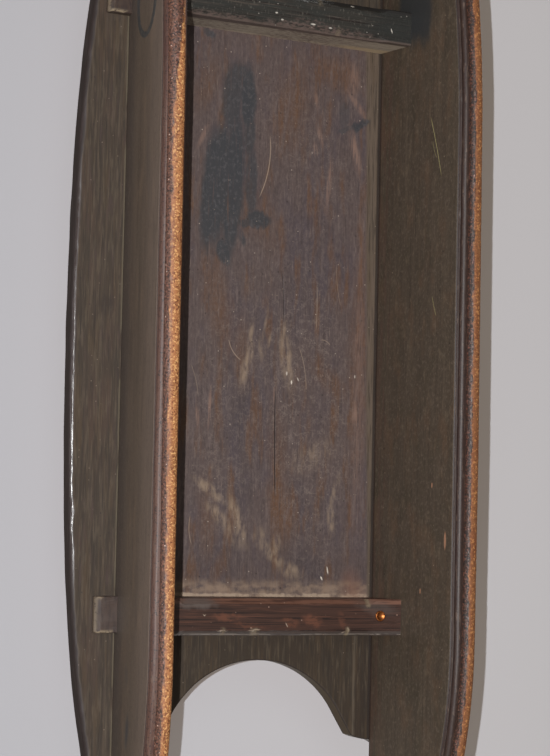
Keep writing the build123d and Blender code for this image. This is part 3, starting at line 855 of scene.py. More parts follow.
def iron_material(side):
    """Half-round bar iron, hot rolled: smooth dark oxide on one side, loose orange rust on the other.

    The left iron is dark all round towards the nose, and the right one has browner rust. The grit of
    the rust is finer than a millimetre, and is drawn at 1.5 mm so that it shows.
    """
    hue = colours()
    coat = Coats("rusty_half_round_iron_" + ("left" if side < 0 else "right"))
    turn = coat.add("ShaderNodeAttribute", attribute_name="turn").outputs["Fac"]
    shade = 1.0 if side < 0 else 0.56
    coat.ground(tuple(shade * part for part in hue.rust[:3]) + (1.0,), 0.72)
    coat.lay("#80522f" if side < 0 else "#713f22", coat.streaks(9, 45, 0.46, 0.66), 0.6)
    coat.lay("#d9a46a" if side < 0 else "#b87f4c", coat.flecks(1.9, 0.235), lift=0.08)
    coat.lay("#6a371c", coat.flecks(2.1, 0.215, 2.0), 0.85, lift=-0.08)
    rubbed = coat.add("ShaderNodeMapRange", span(turn, 0.4, 0.66), **EASED).outputs[0]
    coat.lay("#925f43" if side < 0 else "#87502f", rubbed, 0.4, rough=0.5)
    outer = coat.add("ShaderNodeMapRange", span(turn, 0.05, 0.0), **EASED).outputs[0]
    coat.lay("#3a2014", outer, coat.flecks(2.4, 0.27, 5.0))
    long = coat.add("ShaderNodeMapping", {"Vector": coat.place, "Scale": (400.0, 90.0, 400.0)})
    edge = coat.add("ShaderNodeTexNoise", {"Vector": long.outputs[0], "Scale": 1.0, "Detail": 5.0}).outputs[0]
    shifted = coat.add("ShaderNodeMath", {0: edge, 1: 0.5, 2: turn}, operation="MULTIPLY_ADD").outputs[0]
    if side < 0:
        along = coat.add("ShaderNodeSeparateXYZ", {0: coat.place}).outputs["Y"]
        ahead = coat.add("ShaderNodeMapRange", span(along, -0.085, -0.215, 0.0, 0.85)).outputs[0]
        shifted = coat.add("ShaderNodeMath", {0: shifted, 1: ahead}, operation="ADD").outputs[0]
    smooth_side = coat.add(
        "ShaderNodeMapRange", span(shifted, 0.93 if side < 0 else 0.98, 1.03 if side < 0 else 1.06)
    ).outputs[0]
    coat.lay(tuple(hue.iron) if side < 0 else "#2b1811", smooth_side, 0.9, rough=0.44)
    coat.lay(
        "#805546" if side < 0 else "#6e4438", smooth_side, coat.flecks(1.7, 0.24, 7.0), 0.9, rough=0.45,
        lift=0.06,
    )
    coat.lay(
        "#25110d" if side < 0 else "#150b09", smooth_side, coat.flecks(1.9, 0.24 if side < 0 else 0.27, 9.0),
        0.9, rough=0.6, lift=-0.06,
    )
    # Painted glints: pale specks on the smooth side stand for sparkles of light on the iron.
    coat.lay("#e6c9ba" if side < 0 else "#96786b", smooth_side, coat.dots(3.4, 0.55, 0.16), 0.9, rough=0.4)
    return coat.done(specular=0.6)


def paint_material():
    """Old blue-black oil paint, brushed on thinly: satin, worn off in specks."""
    coat = Coats("brushed_oil_paint", tuple(colours().ink))
    coat.lay("#4b4947", coat.streaks(3, 9, 0.44, 0.62), 0.7)
    coat.lay("#5c4e47", coat.flecks(2.2, 0.19), rough=0.6)
    return coat.done()


def nail_material(name, colour, roughness):
    """Metal of a nail head, dulled by age."""
    coat = Coats(name, colour, roughness)
    dark = tuple(0.45 * part for part in colour[:3]) + (1.0,)
    coat.lay(dark, coat.flecks(1.6, 0.2), rough=0.7, lift=-0.05)
    return coat.done(metallic=1.0)


# Places on a leaning plank


def plank_top():
    """Height of a plank along its own lean, from its lower edge to the deck."""
    return (DECK_Z - sizes().shoe_radius) / cos(sizes().splay)


def foot_x():
    """Middle of a plank at its lower edge."""
    size = sizes()
    return size.inner_width / 2 + size.plank / cos(size.splay) / 2 + plank_top() * sin(size.splay)


def on_plank(side, along, up, across):
    """Points beside a plank: along Y, up its lean, and across it, outwards; side is -1 or 1."""
    lean = sizes().splay
    x = side * (foot_x() - up * sin(lean) + across * cos(lean))
    z = sizes().shoe_radius + up * cos(lean) + across * sin(lean)
    return np.stack([x, np.broadcast_to(along, x.shape), z], axis=-1)


def lower_edge(step):
    """Lower edge of a plank, from the top of its heel forward to the tip of its nose, as arcs and lines.

    The sweeps are tangent to the level stretch, and the small corner arcs are tangent to the sweeps.
    """
    size = sizes()
    lean = size.splay
    tip_y, heel_y = RUNNER_LOW.y, RUNNER_HIGH.y
    arris = 0.003
    full = plank_top() + size.plank * sin(lean) + arris
    nose_cos = (size.nose_sweep + size.nose_tip - full) / (size.nose_sweep - size.nose_tip)
    nose_turn = degrees(np.arccos(nose_cos))
    front_y = tip_y + size.nose_tip + (size.nose_sweep - size.nose_tip) * sin(radians(nose_turn))
    rear_y = heel_y - size.heel_rise
    heel_sin = (size.heel_rise - size.heel_corner) / (size.heel_sweep - size.heel_corner)
    heel_turn = degrees(np.arcsin(heel_sin))
    corner = (
        heel_y - size.heel_corner,
        size.heel_sweep - (size.heel_sweep - size.heel_corner) * cos(radians(heel_turn)),
    )
    tip = (
        tip_y + size.nose_tip,
        size.nose_sweep - (size.nose_sweep - size.nose_tip) * cos(radians(nose_turn)),
    )
    top_corner = (heel_y - size.heel_top, full - size.heel_top)
    return {
        "heel_top": arc(top_corner, size.heel_top, 90, 0, step),
        "heel_back": straight((heel_y, top_corner[1]), (heel_y, corner[1]), step),
        "heel_corner": arc(corner, size.heel_corner, 0, -90 + heel_turn, step),
        "heel_sweep": arc((rear_y, size.heel_sweep), size.heel_sweep, -90 + heel_turn, -90, step),
        "level": straight((rear_y, 0), (front_y, 0), step),
        "nose_sweep": arc((front_y, size.nose_sweep), size.nose_sweep, -90, -90 - nose_turn, step),
        "nose_tip": arc(tip, size.nose_tip, -90 - nose_turn, -180, step / 2),
        "nose_top": arc(tip, size.nose_tip, -180, -270, step / 2),
    }


def runner_rings(side):
    """Profile with a bead and quirk, carried round a plank's outline.

    Each ring point is the outline moved inwards by its inset and across by its place in the
    thickness. Where the plank meets the deck, the profile is a plain square edge.
    """
    size = sizes()
    random = np.random.default_rng(11 if side > 0 else 12)
    step = 0.004
    outline = chain(*lower_edge(step).values())
    outline = np.concatenate([outline, straight(outline[-1], outline[0], step)[1:-1]])
    top = plank_top()
    outline[:, 1] = np.minimum(outline[:, 1], top)
    keep = np.linalg.norm(np.roll(outline, -1, axis=0) - outline, axis=1) > 1e-6
    outline = outline[keep]
    normal = inward(outline, closed=True)
    half = size.plank / 2
    radius = size.bead / 2
    turn = np.radians([100, 75, 50, 25, 0, -22, -45, -68, -90])
    bead_inset = radius - radius * np.sin(-turn)
    bead_across = half - radius + radius * np.cos(turn)
    groove_inset = [0.0112, 0.0107, 0.0100, 0.0092]
    inset = np.concatenate([groove_inset, bead_inset[1:], [0.0]])
    groove_across = [half, half - 0.0002, half - size.quirk * 0.8, half - size.quirk]
    across = np.concatenate([groove_across, bead_across[1:], [0.0]])
    plain_inset = np.linspace(0.0012, 0.0007, len(inset))
    plain_inset[-6:] = [0.0006, 0.0003, 0.0001, 0.0, 0.0, 0.0]
    plain_across = np.full(len(inset), half)
    plain_across[-6:] = [half, half - 0.0001, half - 0.0003, half - 0.0006, half / 2, 0.0]
    distance = distance_along(outline)
    # The bead fades out over 6 mm and ends 10 mm below the deck.
    bead_share = np.clip((top - 0.010 - outline[:, 1]) / 0.006, 0, 1)[:, None]
    insets = inset * bead_share + plain_inset * (1 - bead_share)
    acrosses = across * bead_share + plain_across * (1 - bead_share)
    wear = 0.00022 * wander(random, distance, 0.021) + 0.00015 * wander(random, distance, 0.006)
    worn = (acrosses > half - 0.004) & (insets < 0.009)
    acrosses = acrosses + np.where(worn, np.minimum(wear, 0.0)[:, None] * bead_share, 0.0)
    insets = np.concatenate([insets, insets[:, -2::-1]], axis=1)
    acrosses = np.concatenate([acrosses, -acrosses[:, -2::-1]], axis=1)
    along = outline[:, :1] + normal[:, :1] * insets
    up = outline[:, 1:] + normal[:, 1:] * insets
    level = np.clip(1 - (top - up) / 0.004, 0, 1)
    up = up - acrosses * tan(size.splay) * level
    rings = on_plank(side, along, up, acrosses)
    foot = np.where(insets < 0.0104, 1.0, 0.0) * bead_share
    return rings, foot, np.clip(0.5 + acrosses / 0.012, 0, 1)


def add_attribute(piece, name, values):
    """Store one number for each point of a piece, for its finish to read."""
    values = np.asarray(values, np.float32).ravel()
    if len(piece.data.vertices) != len(values):
        raise RuntimeError("points were merged in " + piece.name)
    layer = piece.data.attributes.new(name, "FLOAT", "POINT")
    layer.data.foreach_set("value", values)


def bore(piece, place, radius):
    """Cut a round hole across the sled through a piece: a cylinder taken away from its mesh."""
    angle = np.linspace(0, 2 * pi, 40, endpoint=False)
    circle = np.stack([0 * angle, radius * np.cos(angle), radius * np.sin(angle)], 1) + np.array(place)
    rings = np.array([circle + np.array([x, 0.0, 0.0]) for x in (-0.03, 0.03)])
    points, faces = carry(rings, False, True, True)
    mesh = bpy.data.meshes.new("drill")
    mesh.from_pydata(points.tolist(), [], faces)
    drill = bpy.data.objects.new("drill", mesh)
    bpy.context.scene.collection.objects.link(drill)
    cut = piece.modifiers.new("bore", "BOOLEAN")
    cut.operation = "DIFFERENCE"
    cut.solver = "EXACT"
    cut.object = drill
    bpy.context.view_layer.objects.active = piece
    bpy.ops.object.modifier_apply(modifier=cut.name)
    bpy.data.objects.remove(drill)
    bpy.data.meshes.remove(mesh)


class SLED_OT_runners(Operator):
    """Make the two leaning runner planks, with a bead along their lower edges and holes for a rope"""

    bl_idname = "sled.runners"
    bl_label = "Runners"

    def execute(self, context):
        size = sizes()
        for side, node in ((-1, "runner_left"), (1, "runner_right")):
            rings, foot, outside = runner_rings(side)
            piece = make_piece(
                node + "_plank", [carry(rings, True, False, True)], runner_material(side), node
            )
            add_attribute(piece, "foot", foot)
            add_attribute(piece, "outside", outside)
            bore(piece, (side * ROPE_HOLE.x, ROPE_HOLE.y, ROPE_HOLE.z), size.rope_hole)
        return {"FINISHED"}


class SLED_OT_stripes(Operator):
    """Paint the pinstripe loop on the outer face of each runner, a tenth of a millimetre thick"""

    bl_idname = "sled.stripes"
    bl_label = "Pinstripes"

    def execute(self, context):
        size = sizes()
        runs = lower_edge(0.004)
        edge = chain(runs["level"], runs["nose_sweep"])[::-1]
        # Ends of the loop, as photographed: the middle of each arc along the sled, and its radius.
        rear_y, rear_z, rear_radius = -0.195, 0.0775, 0.0310
        front_y, front_radius = -0.395, 0.0125
        along = np.linspace(front_y, rear_y, 60)
        below = size.shoe_radius + np.interp(along, edge[:, 0], edge[:, 1])
        low_z, top_z = rear_z - rear_radius, rear_z + rear_radius
        clear = np.interp(along, (front_y, rear_y), (top_z - 2 * front_radius - below[0], low_z - below[-1]))
        loop = chain(
            arc((rear_y, rear_z), rear_radius, -90, 90, 0.003),
            straight((rear_y, top_z), (front_y, top_z), 0.006),
            arc((front_y, top_z - front_radius), front_radius, 90, 270, 0.002),
            np.stack([along, below + clear], axis=1),
        )[:-1]
        # The brush laid the stripe broader along the sled than round the ends of the loop.
        half = np.array([0.0027, 0.0052])
        offset = np.array([-1.0, -0.9, 0.9, 1.0, 0.9, -0.9])
        proud = size.plank / 2 + MM * np.array([-0.02, 0.10, 0.10, -0.02, -0.05, -0.05])
        normal = inward(loop, closed=True)
        spots = loop[:, None] + normal[:, None] * half * offset[None, :, None]
        up = (spots[..., 1] - size.shoe_radius) / cos(size.splay)
        paint = paint_material()
        for side, name in ((-1, "pinstripe_left"), (1, "pinstripe_right")):
            rings = on_plank(side, spots[..., 0], up, np.broadcast_to(proud, up.shape))
            make_piece(name, [carry(rings, True, True, False)], paint, sharp=60)
        return {"FINISHED"}


class SLED_OT_shoes(Operator):
    """Make the half-round iron shoes, with pits, a worn crown and tapered ends"""

    bl_idname = "sled.shoes"
    bl_label = "Shoes"

    def execute(self, context):
        radius = sizes().shoe_radius
        runs = lower_edge(0.0014)
        end_height, taper_length = 0.016, 0.012
        back = runs["heel_back"]
        back = back[back[:, 1] < back[-1, 1] + end_height]
        bends = ("heel_corner", "heel_sweep", "level", "nose_sweep", "nose_tip")
        path = chain(back, *[runs[key] for key in bends])
        normal = inward(path, closed=False)
        distance = distance_along(path)
        taper = np.clip(np.minimum(distance, distance[-1] - distance) / taper_length, 0, 1)
        taper = 0.25 + 0.75 * np.sqrt(taper)
        turn = np.radians(np.linspace(0, 180, 19))
        # The irons were bent by hand. Each strays to +X along the sled, and was hammered wider.
        drift = {
            -1: ([-0.5, -0.2, 0.45], [-0.0002, -0.0002, 0.0030]),
            1: ([-0.5, -0.1, 0.2, 0.45], [0.0006, 0.0012, 0.0026, 0.0014]),
        }
        spread = {-1: (0.0012, 0.0), 1: (0.0, 0.0)}
        worn_crown, pit_depth = 0.00035, 0.0014
        for side, node in ((-1, "shoe_left"), (1, "shoe_right")):
            random = np.random.default_rng(21 if side > 0 else 22)
            pits = random.uniform(0, 1, (len(path), len(turn)))
            pits = (pits + np.roll(pits, 1, 0) + np.roll(pits, 1, 1) + np.roll(pits, -1, 0)) / 4
            wear = worn_crown * (1 + wander(random, distance, 0.05)[:, None]) * np.sin(turn) ** 6
            reach = radius - pit_depth * np.clip(pits - 0.55, 0, 1) - wear
            outwards = -reach * np.sin(turn) * taper[:, None]
            shift = np.interp(path[:, 0], *drift[side])[:, None]
            broad = np.interp(path[:, 0], (-0.15, 0.35), spread[side])[:, None]
            across = (reach + broad) * np.cos(turn) * (0.7 + 0.3 * taper[:, None]) + side * shift
            along = path[:, :1] + normal[:, :1] * outwards
            up = path[:, 1:] + normal[:, 1:] * outwards
            rings = on_plank(side, along, up, across)
            rings[..., 2] = np.maximum(rings[..., 2], SHOE_LOW.z)
            parts = [carry(rings, False, True, True)]
            piece = make_piece(node + "_iron", parts, iron_material(side), node, 50)
            facing = 0.5 - 0.5 * side * np.cos(turn)
            add_attribute(piece, "turn", np.broadcast_to(facing, rings.shape[:2]))
        return {"FINISHED"}


def deck_side(at_y):
    """Half width of the deck: the smooth curve through five stations, a polynomial of the fourth degree."""
    size = sizes()
    outer = size.inner_width / 2 + size.plank / cos(size.splay)
    stations = np.array([-0.403, -0.273, 0.015, 0.273, 0.403])
    overhang = np.array([0.0080, 0.0335, 0.0475, 0.0399, 0.0226])
    curve = np.polyfit(stations, outer + overhang, 4)
    return np.minimum(np.polyval(curve, at_y - DECK_MIDDLE), DECK_HIGH.x)


def deck_outline():
    """Outline of the deck, clockwise from above: arches with flared ends, shoulders, ears and sides.

    The straight ends of each cut are tangent to its arc, whose radius follows from the corners.
    """
    size = sizes()
    step = 0.003
    flare = size.arch_flare
    corner_x = size.inner_width / 2 - size.shoulder
    # Lengths at an ear: from its tip to the arch's corner, and the size of its rounded outer corner.
    tip_to_corner, ear_x, ear_y = 0.0355, 0.014, 0.017
    corner_rise = size.arch_depth - tip_to_corner
    radius = (corner_x - corner_rise * tan(flare)) / (1 / cos(flare) - tan(flare))
    halves = {}
    for hand in (1, -1):
        for tip_y, out, shift in ((DECK_LOW.y, -1, 0.0), (DECK_HIGH.y, 1, size.arch_shift)):
            side_y = tip_y - out * ear_y
            side_x = float(deck_side(np.array(side_y)))
            middle = hand * shift
            crown_y = tip_y - out * size.arch_depth
            bow = np.linspace(0, pi / 2 - flare, 36)
            arch = np.stack([
                middle + radius * np.sin(bow), crown_y + out * radius * (1 - np.cos(bow)),
            ], axis=1)
            corner = np.array([corner_x + middle, tip_y - out * tip_to_corner])
            root = np.array([size.inner_width / 2, corner[1] + out * 0.0045])
            tip = np.array([side_x - ear_x, tip_y])
            run = chain(
                arch,
                straight(arch[-1], corner, step),
                arc_through(corner, ((corner[0] + root[0]) / 2, corner[1] + out * 0.0032), root, step),
                arc_through(root, root + (tip - root) * np.array([0.65, 0.40]), tip, step),
                arc_through(tip, (tip[0] + ear_x * 0.74, tip_y - out * ear_y * 0.26), (side_x, side_y), step),
            )
            halves[hand, out] = run * np.array([hand, 1.0])
    at_y = np.linspace(halves[1, -1][-1, 1], halves[1, 1][-1, 1], 271)
    side = np.stack([deck_side(at_y), at_y], axis=1)
    right = chain(halves[1, -1], side, halves[1, 1][::-1])
    left = chain(halves[-1, 1], (side * np.array([-1.0, 1.0]))[::-1], halves[-1, -1][::-1])
    outline = np.concatenate([right, left[1:-1]])[::-1]
    # The long sides have the larger rounding.
    along_side = (np.abs(outline[:, 1] - DECK_MIDDLE) < 0.404) & (np.abs(outline[:, 0]) > 0.14)
    return outline, along_side


class SLED_OT_deck(Operator):
    """Make the deck board, its long sides rounded and its ends cut to round arches"""

    bl_idname = "sled.deck"
    bl_label = "Deck"

    def execute(self, context):
        random = np.random.default_rng(31)
        outline, along_side = deck_outline()
        normal = inward(outline, closed=True)
        distance = distance_along(outline)
        thickness = DECK_TOP - DECK_Z
        side_rounding, end_rounding = 0.004, 0.0018
        radius = np.where(along_side, side_rounding, end_rounding)
        radius = np.convolve(np.r_[radius[-4:], radius, radius[:4]], np.ones(9) / 9, "valid")
        low = radius * (1 + 0.22 * wander(random, distance, 0.018) + 0.12 * wander(random, distance, 0.006))
        high = radius * (1 + 0.25 * wander(random, distance, 0.025))
        turn = np.radians(np.linspace(0, 90, 7))
        bottom_in = low[:, None] * (1 - np.sin(turn))
        bottom_z = low[:, None] * (1 - np.cos(turn))
        top_in = high[:, None] * (1 - np.cos(turn))
        top_z = thickness - high[:, None] * (1 - np.sin(turn))
        zero = np.zeros((len(outline), 1))
        inset = np.concatenate([bottom_in, zero, top_in], axis=1)
        height = np.concatenate([bottom_z, zero + thickness / 2, top_z], axis=1)
        across = outline[:, :1] + normal[:, :1] * inset
        along = outline[:, 1:] + normal[:, 1:] * inset
        rings = np.stack([across, along, DECK_Z + height], axis=-1)
        make_piece(
            "deck_board_pine", [carry(rings, True, False, True)], deck_material(), "deck_board"
        )
        return {"FINISHED"}


def turned_flat(rings, middle, angle):
    """Points turned about the upright line through Y = middle on the sled's middle plane."""
    x, y = rings[..., 0], rings[..., 1] - middle
    return np.stack([
        x * cos(angle) - y * sin(angle), middle + x * sin(angle) + y * cos(angle), rings[..., 2],
    ], axis=-1)


def cleat_rings(low, high, half_width, random, chips):
    """Body of a cleat: a board section, carried across the sled, with stopped chamfers and chipped arrises.

    Each section runs down one side, across the bottom and up the other side. The chamfer grows
    from a small rounding to its full size over a short run-out.
    """
    size = sizes()
    middle = (high.y + low.y) / 2
    depth = high.z - low.z
    in_runner, rounding = 0.0105, 0.0010
    end_x = size.inner_width / 2 + in_runner
    x = np.linspace(-end_x, end_x, 190)
    run = size.inner_width / 2 - size.chamfer_stop
    stop = np.clip((run + 0.006 - np.abs(x)) / 0.012, 0, 1)
    stop = stop * stop * (3 - 2 * stop)
    sides = []
    chipped = []
    for edge in (-1, 1):
        cut = rounding + (size.chamfer - rounding) * stop
        cut = cut * (1 + 0.10 * wander(random, x - x.min(), 0.02) + 0.08 * wander(random, x - x.min(), 0.005))
        chip = np.zeros_like(x)
        for place, length, bite in chips[edge]:
            near = np.clip(1 - np.abs(x - place) / length, 0, 1)
            chip = np.maximum(chip, bite * np.minimum(1, 2 * near))
        sides.append(cut + chip)
        chipped.append(np.clip(chip / 0.001, 0, 1))
    zero = np.zeros_like(x)

    def flank(hand, cut, mark):
        """Rows down one side of the board and round its chamfer to the bottom."""
        shares = (0.0, 0.3, 0.6, 0.8, 0.93, 1.0)
        rows = [(zero + hand * half_width, -k * (depth - cut), mark if k == 1 else zero) for k in shares]
        rows.append((hand * (half_width - cut * 0.42), cut * 0.50 - depth, mark))
        rows.append((hand * (half_width - cut), zero - depth, mark))
        return rows

    rows = flank(-1, sides[0], chipped[0])
    for share in np.linspace(0, 1, 9)[1:-1]:
        across = (sides[0] - half_width) * (1 - share) + (half_width - sides[1]) * share
        rows.append((across, zero - depth, zero))
    rows += flank(1, sides[1], chipped[1])[::-1]
    y, z, marks = (np.stack(column, axis=1) for column in zip(*rows))
    rings = np.stack([np.broadcast_to(x[:, None], y.shape), middle + y, high.z + z], axis=-1)
    return rings, marks


def tenon_rings(side, low, high, half_width, random):
    """End of a tenon outside a runner: a flat bar, bevelled below at its end, with broken arrises."""
    size = sizes()
    middle = (high.y + low.y) / 2
    depth = size.tenon
    reach = high.x - size.front_skew * half_width
    outer = size.inner_width / 2 + size.plank / cos(size.splay)
    stations = np.array([outer - 0.012, outer, outer + 0.004, outer + 0.009, outer + 0.013,
                         reach - 0.0048, reach - 0.0030, reach - 0.0012, reach - 0.0003, reach])
    bevel = np.array([0.0, 0.0, 0.0, 0.0, 0.0, 0.0002, 0.0018, 0.0036, 0.0047, 0.0054])
    pinch = np.array([0.0, 0.0, 0.0, 0.0, 0.0, 0.0, 0.0001, 0.0003, 0.0007, 0.0013])
    arris = 0.0009
    turn = np.linspace(0, 1, 12)[1:-1]
    flat = np.concatenate([[-1, -1, -1], -1 + 2 * turn, [1, 1, 1]])
    last = len(flat) - 1
    rows_y, rows_z = [], []
    for position, value in enumerate(flat):
        if position in (0, last):
            drop, inset = 0.0, 0.0
        elif position in (1, last - 1):
            drop, inset = depth - arris, 0.0
        else:
            drop, inset = depth, arris
        jitter = 0.0004 * random.uniform(-1, 1, len(stations)) if 0 < position < last else 0.0
        rows_y.append(value * (half_width - inset - pinch) + (jitter if abs(value) == 1 else 0.0))
        rows_z.append(-(drop - bevel * (drop > 0)) + (jitter if drop == depth else 0.0))
    y = middle + np.stack(rows_y, axis=1)
    z = np.minimum(high.z + np.stack(rows_z, axis=1), high.z)
    z = np.maximum(z, high.z - depth)
    rings = np.stack([np.broadcast_to(side * stations[:, None], y.shape), y, z], axis=-1)
    marks = np.zeros(y.shape)
    marks[5:, 2] = 0.6
    marks[3:, -3] = 0.9
    marks[7:, 1:-1] = 0.4
    return rings, marks


class SLED_OT_cleats(Operator):
    """Make the two cross cleats with their stopped chamfers and the tenons that pass through the runners"""

    bl_idname = "sled.cleats"
    bl_label = "Cleats"

    def execute(self, context):
        hue = colours()
        size = sizes()
        front = cleat_material(
            "painted_maple_cleat", linear("#302e2a"), True, (FRONT_LOW.y + FRONT_HIGH.y) / 2, size.front_skew
        )
        rear = cleat_material("stained_maple_cleat", tuple(hue.cleat), False, (REAR_LOW.y + REAR_HIGH.y) / 2)
        chips = {
            "cleat_front": {-1: [(0.03, 0.003, 0.0003)], 1: [(0.05, 0.003, 0.0003)]},
            "cleat_rear": {
                -1: [(0.09, 0.003, 0.0006)],
                1: [(-0.022, 0.005, 0.0005), (-0.053, 0.003, 0.0004), (0.070, 0.0025, 0.0007)],
            },
        }
        for node, material, width, skew, seed in (
            ("cleat_front", front, size.front_width, size.front_skew, 41),
            ("cleat_rear", rear, size.rear_width, 0.0, 42),
        ):
            low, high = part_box(node)
            middle = (low.y + high.y) / 2
            random = np.random.default_rng(seed)
            rings, marks = cleat_rings(low, high, width / 2, random, chips[node])
            parts = [carry(turned_flat(rings, middle, skew), False, True, True)]
            values = [marks.ravel()]
            for side in (-1, 1):
                rings, marks = tenon_rings(side, low, high, width / 2, random)
                parts.append(carry(turned_flat(rings, middle, skew), False, True, True))
                values.append(marks.ravel())
            piece = make_piece(node + "_board", parts, material, node, 28)
            add_attribute(piece, "chipped", np.concatenate(values))
        return {"FINISHED"}


def turned(profile, centre, axis, count):
    """Surface of revolution: each profile point is a distance along the axis and a radius round it."""
    axis = np.array(axis, float)
    across = np.cross(axis, (0.0, 1.0, 0.0) if abs(axis[1]) < 0.9 else (1.0, 0.0, 0.0))
    across /= np.linalg.norm(across)
    other = np.cross(axis, across)
    angle = np.linspace(0, 2 * pi, count, endpoint=False)
    around = np.cos(angle)[:, None] * across + np.sin(angle)[:, None] * other
    profile = np.array(profile)
    return np.array(centre) + profile[:, :1, None] * axis + profile[:, 1:, None] * around[None]


class SLED_OT_rung(Operator):
    """Make the turned rung between the noses of the runners"""

    bl_idname = "sled.rung"
    bl_label = "Rung"

    def execute(self, context):
        reach = RUNG_HIGH.x
        radius = (RUNG_HIGH.z - RUNG_LOW.z) / 2
        middle = (RUNG_HIGH + RUNG_LOW) / 2
        x = np.linspace(-reach + 0.0015, reach - 0.0015, 121)
        swell = radius * (1 - 0.045 * (1 - (x / reach) ** 2) * np.sin(4 * x / reach) ** 2)
        ends = [(-reach, 0.0004), (-reach, radius - 0.0028), (-reach + 0.0004, radius - 0.0012)]
        profile = ends + list(zip(x, swell)) + [(-a, b) for a, b in ends[::-1]]
        rings = turned(profile, tuple(middle), (1.0, 0.0, 0.0), 40)
        material = cleat_material("turned_ash_rung", tuple(colours().varnish))
        piece = make_piece(
            "nose_rung_turned", [carry(rings, False, True, True)], material, "nose_rung"
        )
        add_attribute(piece, "chipped", np.zeros(len(piece.data.vertices)))
        return {"FINISHED"}


class SLED_OT_nails(Operator):
    """Make the copper nail in the rear cleat and the iron nail heads on the deck"""

    bl_idname = "sled.nails"
    bl_label = "Nails"

    def execute(self, context):
        copper = nail_material("old_copper", linear("#a9683a"), 0.42)
        steel = nail_material("rusty_nail", linear("#6b4632"), 0.6)
        dish = [
            (0.0001, 0.0002), (0.0002, 0.0012), (0.0005, 0.0022), (0.0010, 0.0031), (0.0014, 0.0037),
            (0.0015, 0.0042), (0.0012, 0.0046), (0.0005, 0.0048), (-0.0006, 0.0048),
        ]
        nail_x, nail_y = 0.1022, 0.3465
        rings = turned(dish, (nail_x, nail_y, REAR_LOW.z), (0.0, 0.0, -1.0), 32)
        make_piece("cleat_nail", [carry(rings, False, True, True)], copper, sharp=60)
        spots = []
        half_plank, half_cleat = 0.010, 0.016
        outer = sizes().inner_width / 2 + half_plank
        for along in np.linspace(-0.30, 0.30, 5):
            spots += [(-outer, DECK_MIDDLE + along), (outer, DECK_MIDDLE + along)]
        for cleat in (FRONT_LOW.y + half_cleat, REAR_LOW.y + half_cleat):
            spots += [(x, cleat) for x in (-0.06, 0.0, 0.06)]
        parts = []
        flat = [(0.0001, 0.0002), (0.0001, 0.0016), (-0.0001, 0.0026), (-0.0006, 0.0028)]
        for x, y in spots:
            rings = turned(flat, (x, y, DECK_TOP - 0.0001), (0.0, 0.0, 1.0), 16)
            parts.append(carry(rings, False, True, True))
        make_piece("deck_nails", parts, steel, sharp=60)
        return {"FINISHED"}


# Stage, lamps and camera

CAMERA_PLACE = Vector((-0.8799, 0.2574, -1.8891))
CAMERA_AIM = Vector((0.0142, 0.1297, 0.1445))
CAMERA_ROLL = 1.195
CAMERA_LENS = 157.46
FLOOR_REACH = 30.0
FLASH_PLACE = Vector((-0.981, 0.257, -1.889))


def one_sided(name, colour, far_colour=None, glow=None):
    """Matt paper that shows only from the side that its faces point to.

    It may fade to another colour on the sled's right, and give off a faint glow of its own.
    """
    coat = Coats(name)
    if far_colour:
        right = coat.add("ShaderNodeSeparateXYZ", {0: coat.place}).outputs["X"]
        share = coat.add("ShaderNodeMapRange", span(right, -0.25, 0.25)).outputs[0]
        colour = coat.add("ShaderNodeMix", {
            "Factor": share, 6: colour, 7: far_colour,
        }, data_type="RGBA").outputs[2]
    paper = coat.add("ShaderNodeBsdfDiffuse", {"Color": colour})
    if glow:
        light = coat.add("ShaderNodeEmission", {"Color": glow, "Strength": 1.0})
        paper = coat.add("ShaderNodeAddShader", {0: paper.outputs[0], 1: light.outputs[0]})
    clear = coat.add("ShaderNodeBsdfTransparent")
    behind = coat.add("ShaderNodeNewGeometry").outputs["Backfacing"]
    both = coat.add("ShaderNodeMixShader", {0: behind, 1: paper.outputs[0], 2: clear.outputs[0]})
    coat.add("ShaderNodeOutputMaterial", {"Surface": both.outputs[0]})
    return coat.material


def sheet(name, x0, x1, y0, y1, z, material):
    """Level backdrop between two limits in X and in Y, which casts no shadow and lights nothing."""
    mesh = bpy.data.meshes.new(name)
    mesh.from_pydata([(x0, y0, z), (x1, y0, z), (x1, y1, z), (x0, y1, z)], [], [(0, 1, 2, 3)])
    paper = bpy.data.objects.new(name, mesh)
    bpy.context.scene.collection.objects.link(paper)
    mesh.materials.append(material)
    paper.visible_shadow = False
    paper.visible_diffuse = False
    paper.visible_glossy = False


def lamp(name, kind, place, aim, power, size, **settings):
    """Lamp at a place, turned to its aim."""
    data = bpy.data.lights.new(name, kind)
    data.energy = power
    if kind == "AREA":
        data.shape = "DISK"
        data.size = size
    elif kind == "SPOT":
        data.shadow_soft_size = size
    for key, value in settings.items():
        setattr(data, key, value)
    light = bpy.data.objects.new(name, data)
    light.location = place
    light.rotation_euler = (Vector(aim) - Vector(place)).to_track_quat("-Z", "Y").to_euler()
    bpy.context.scene.collection.objects.link(light)


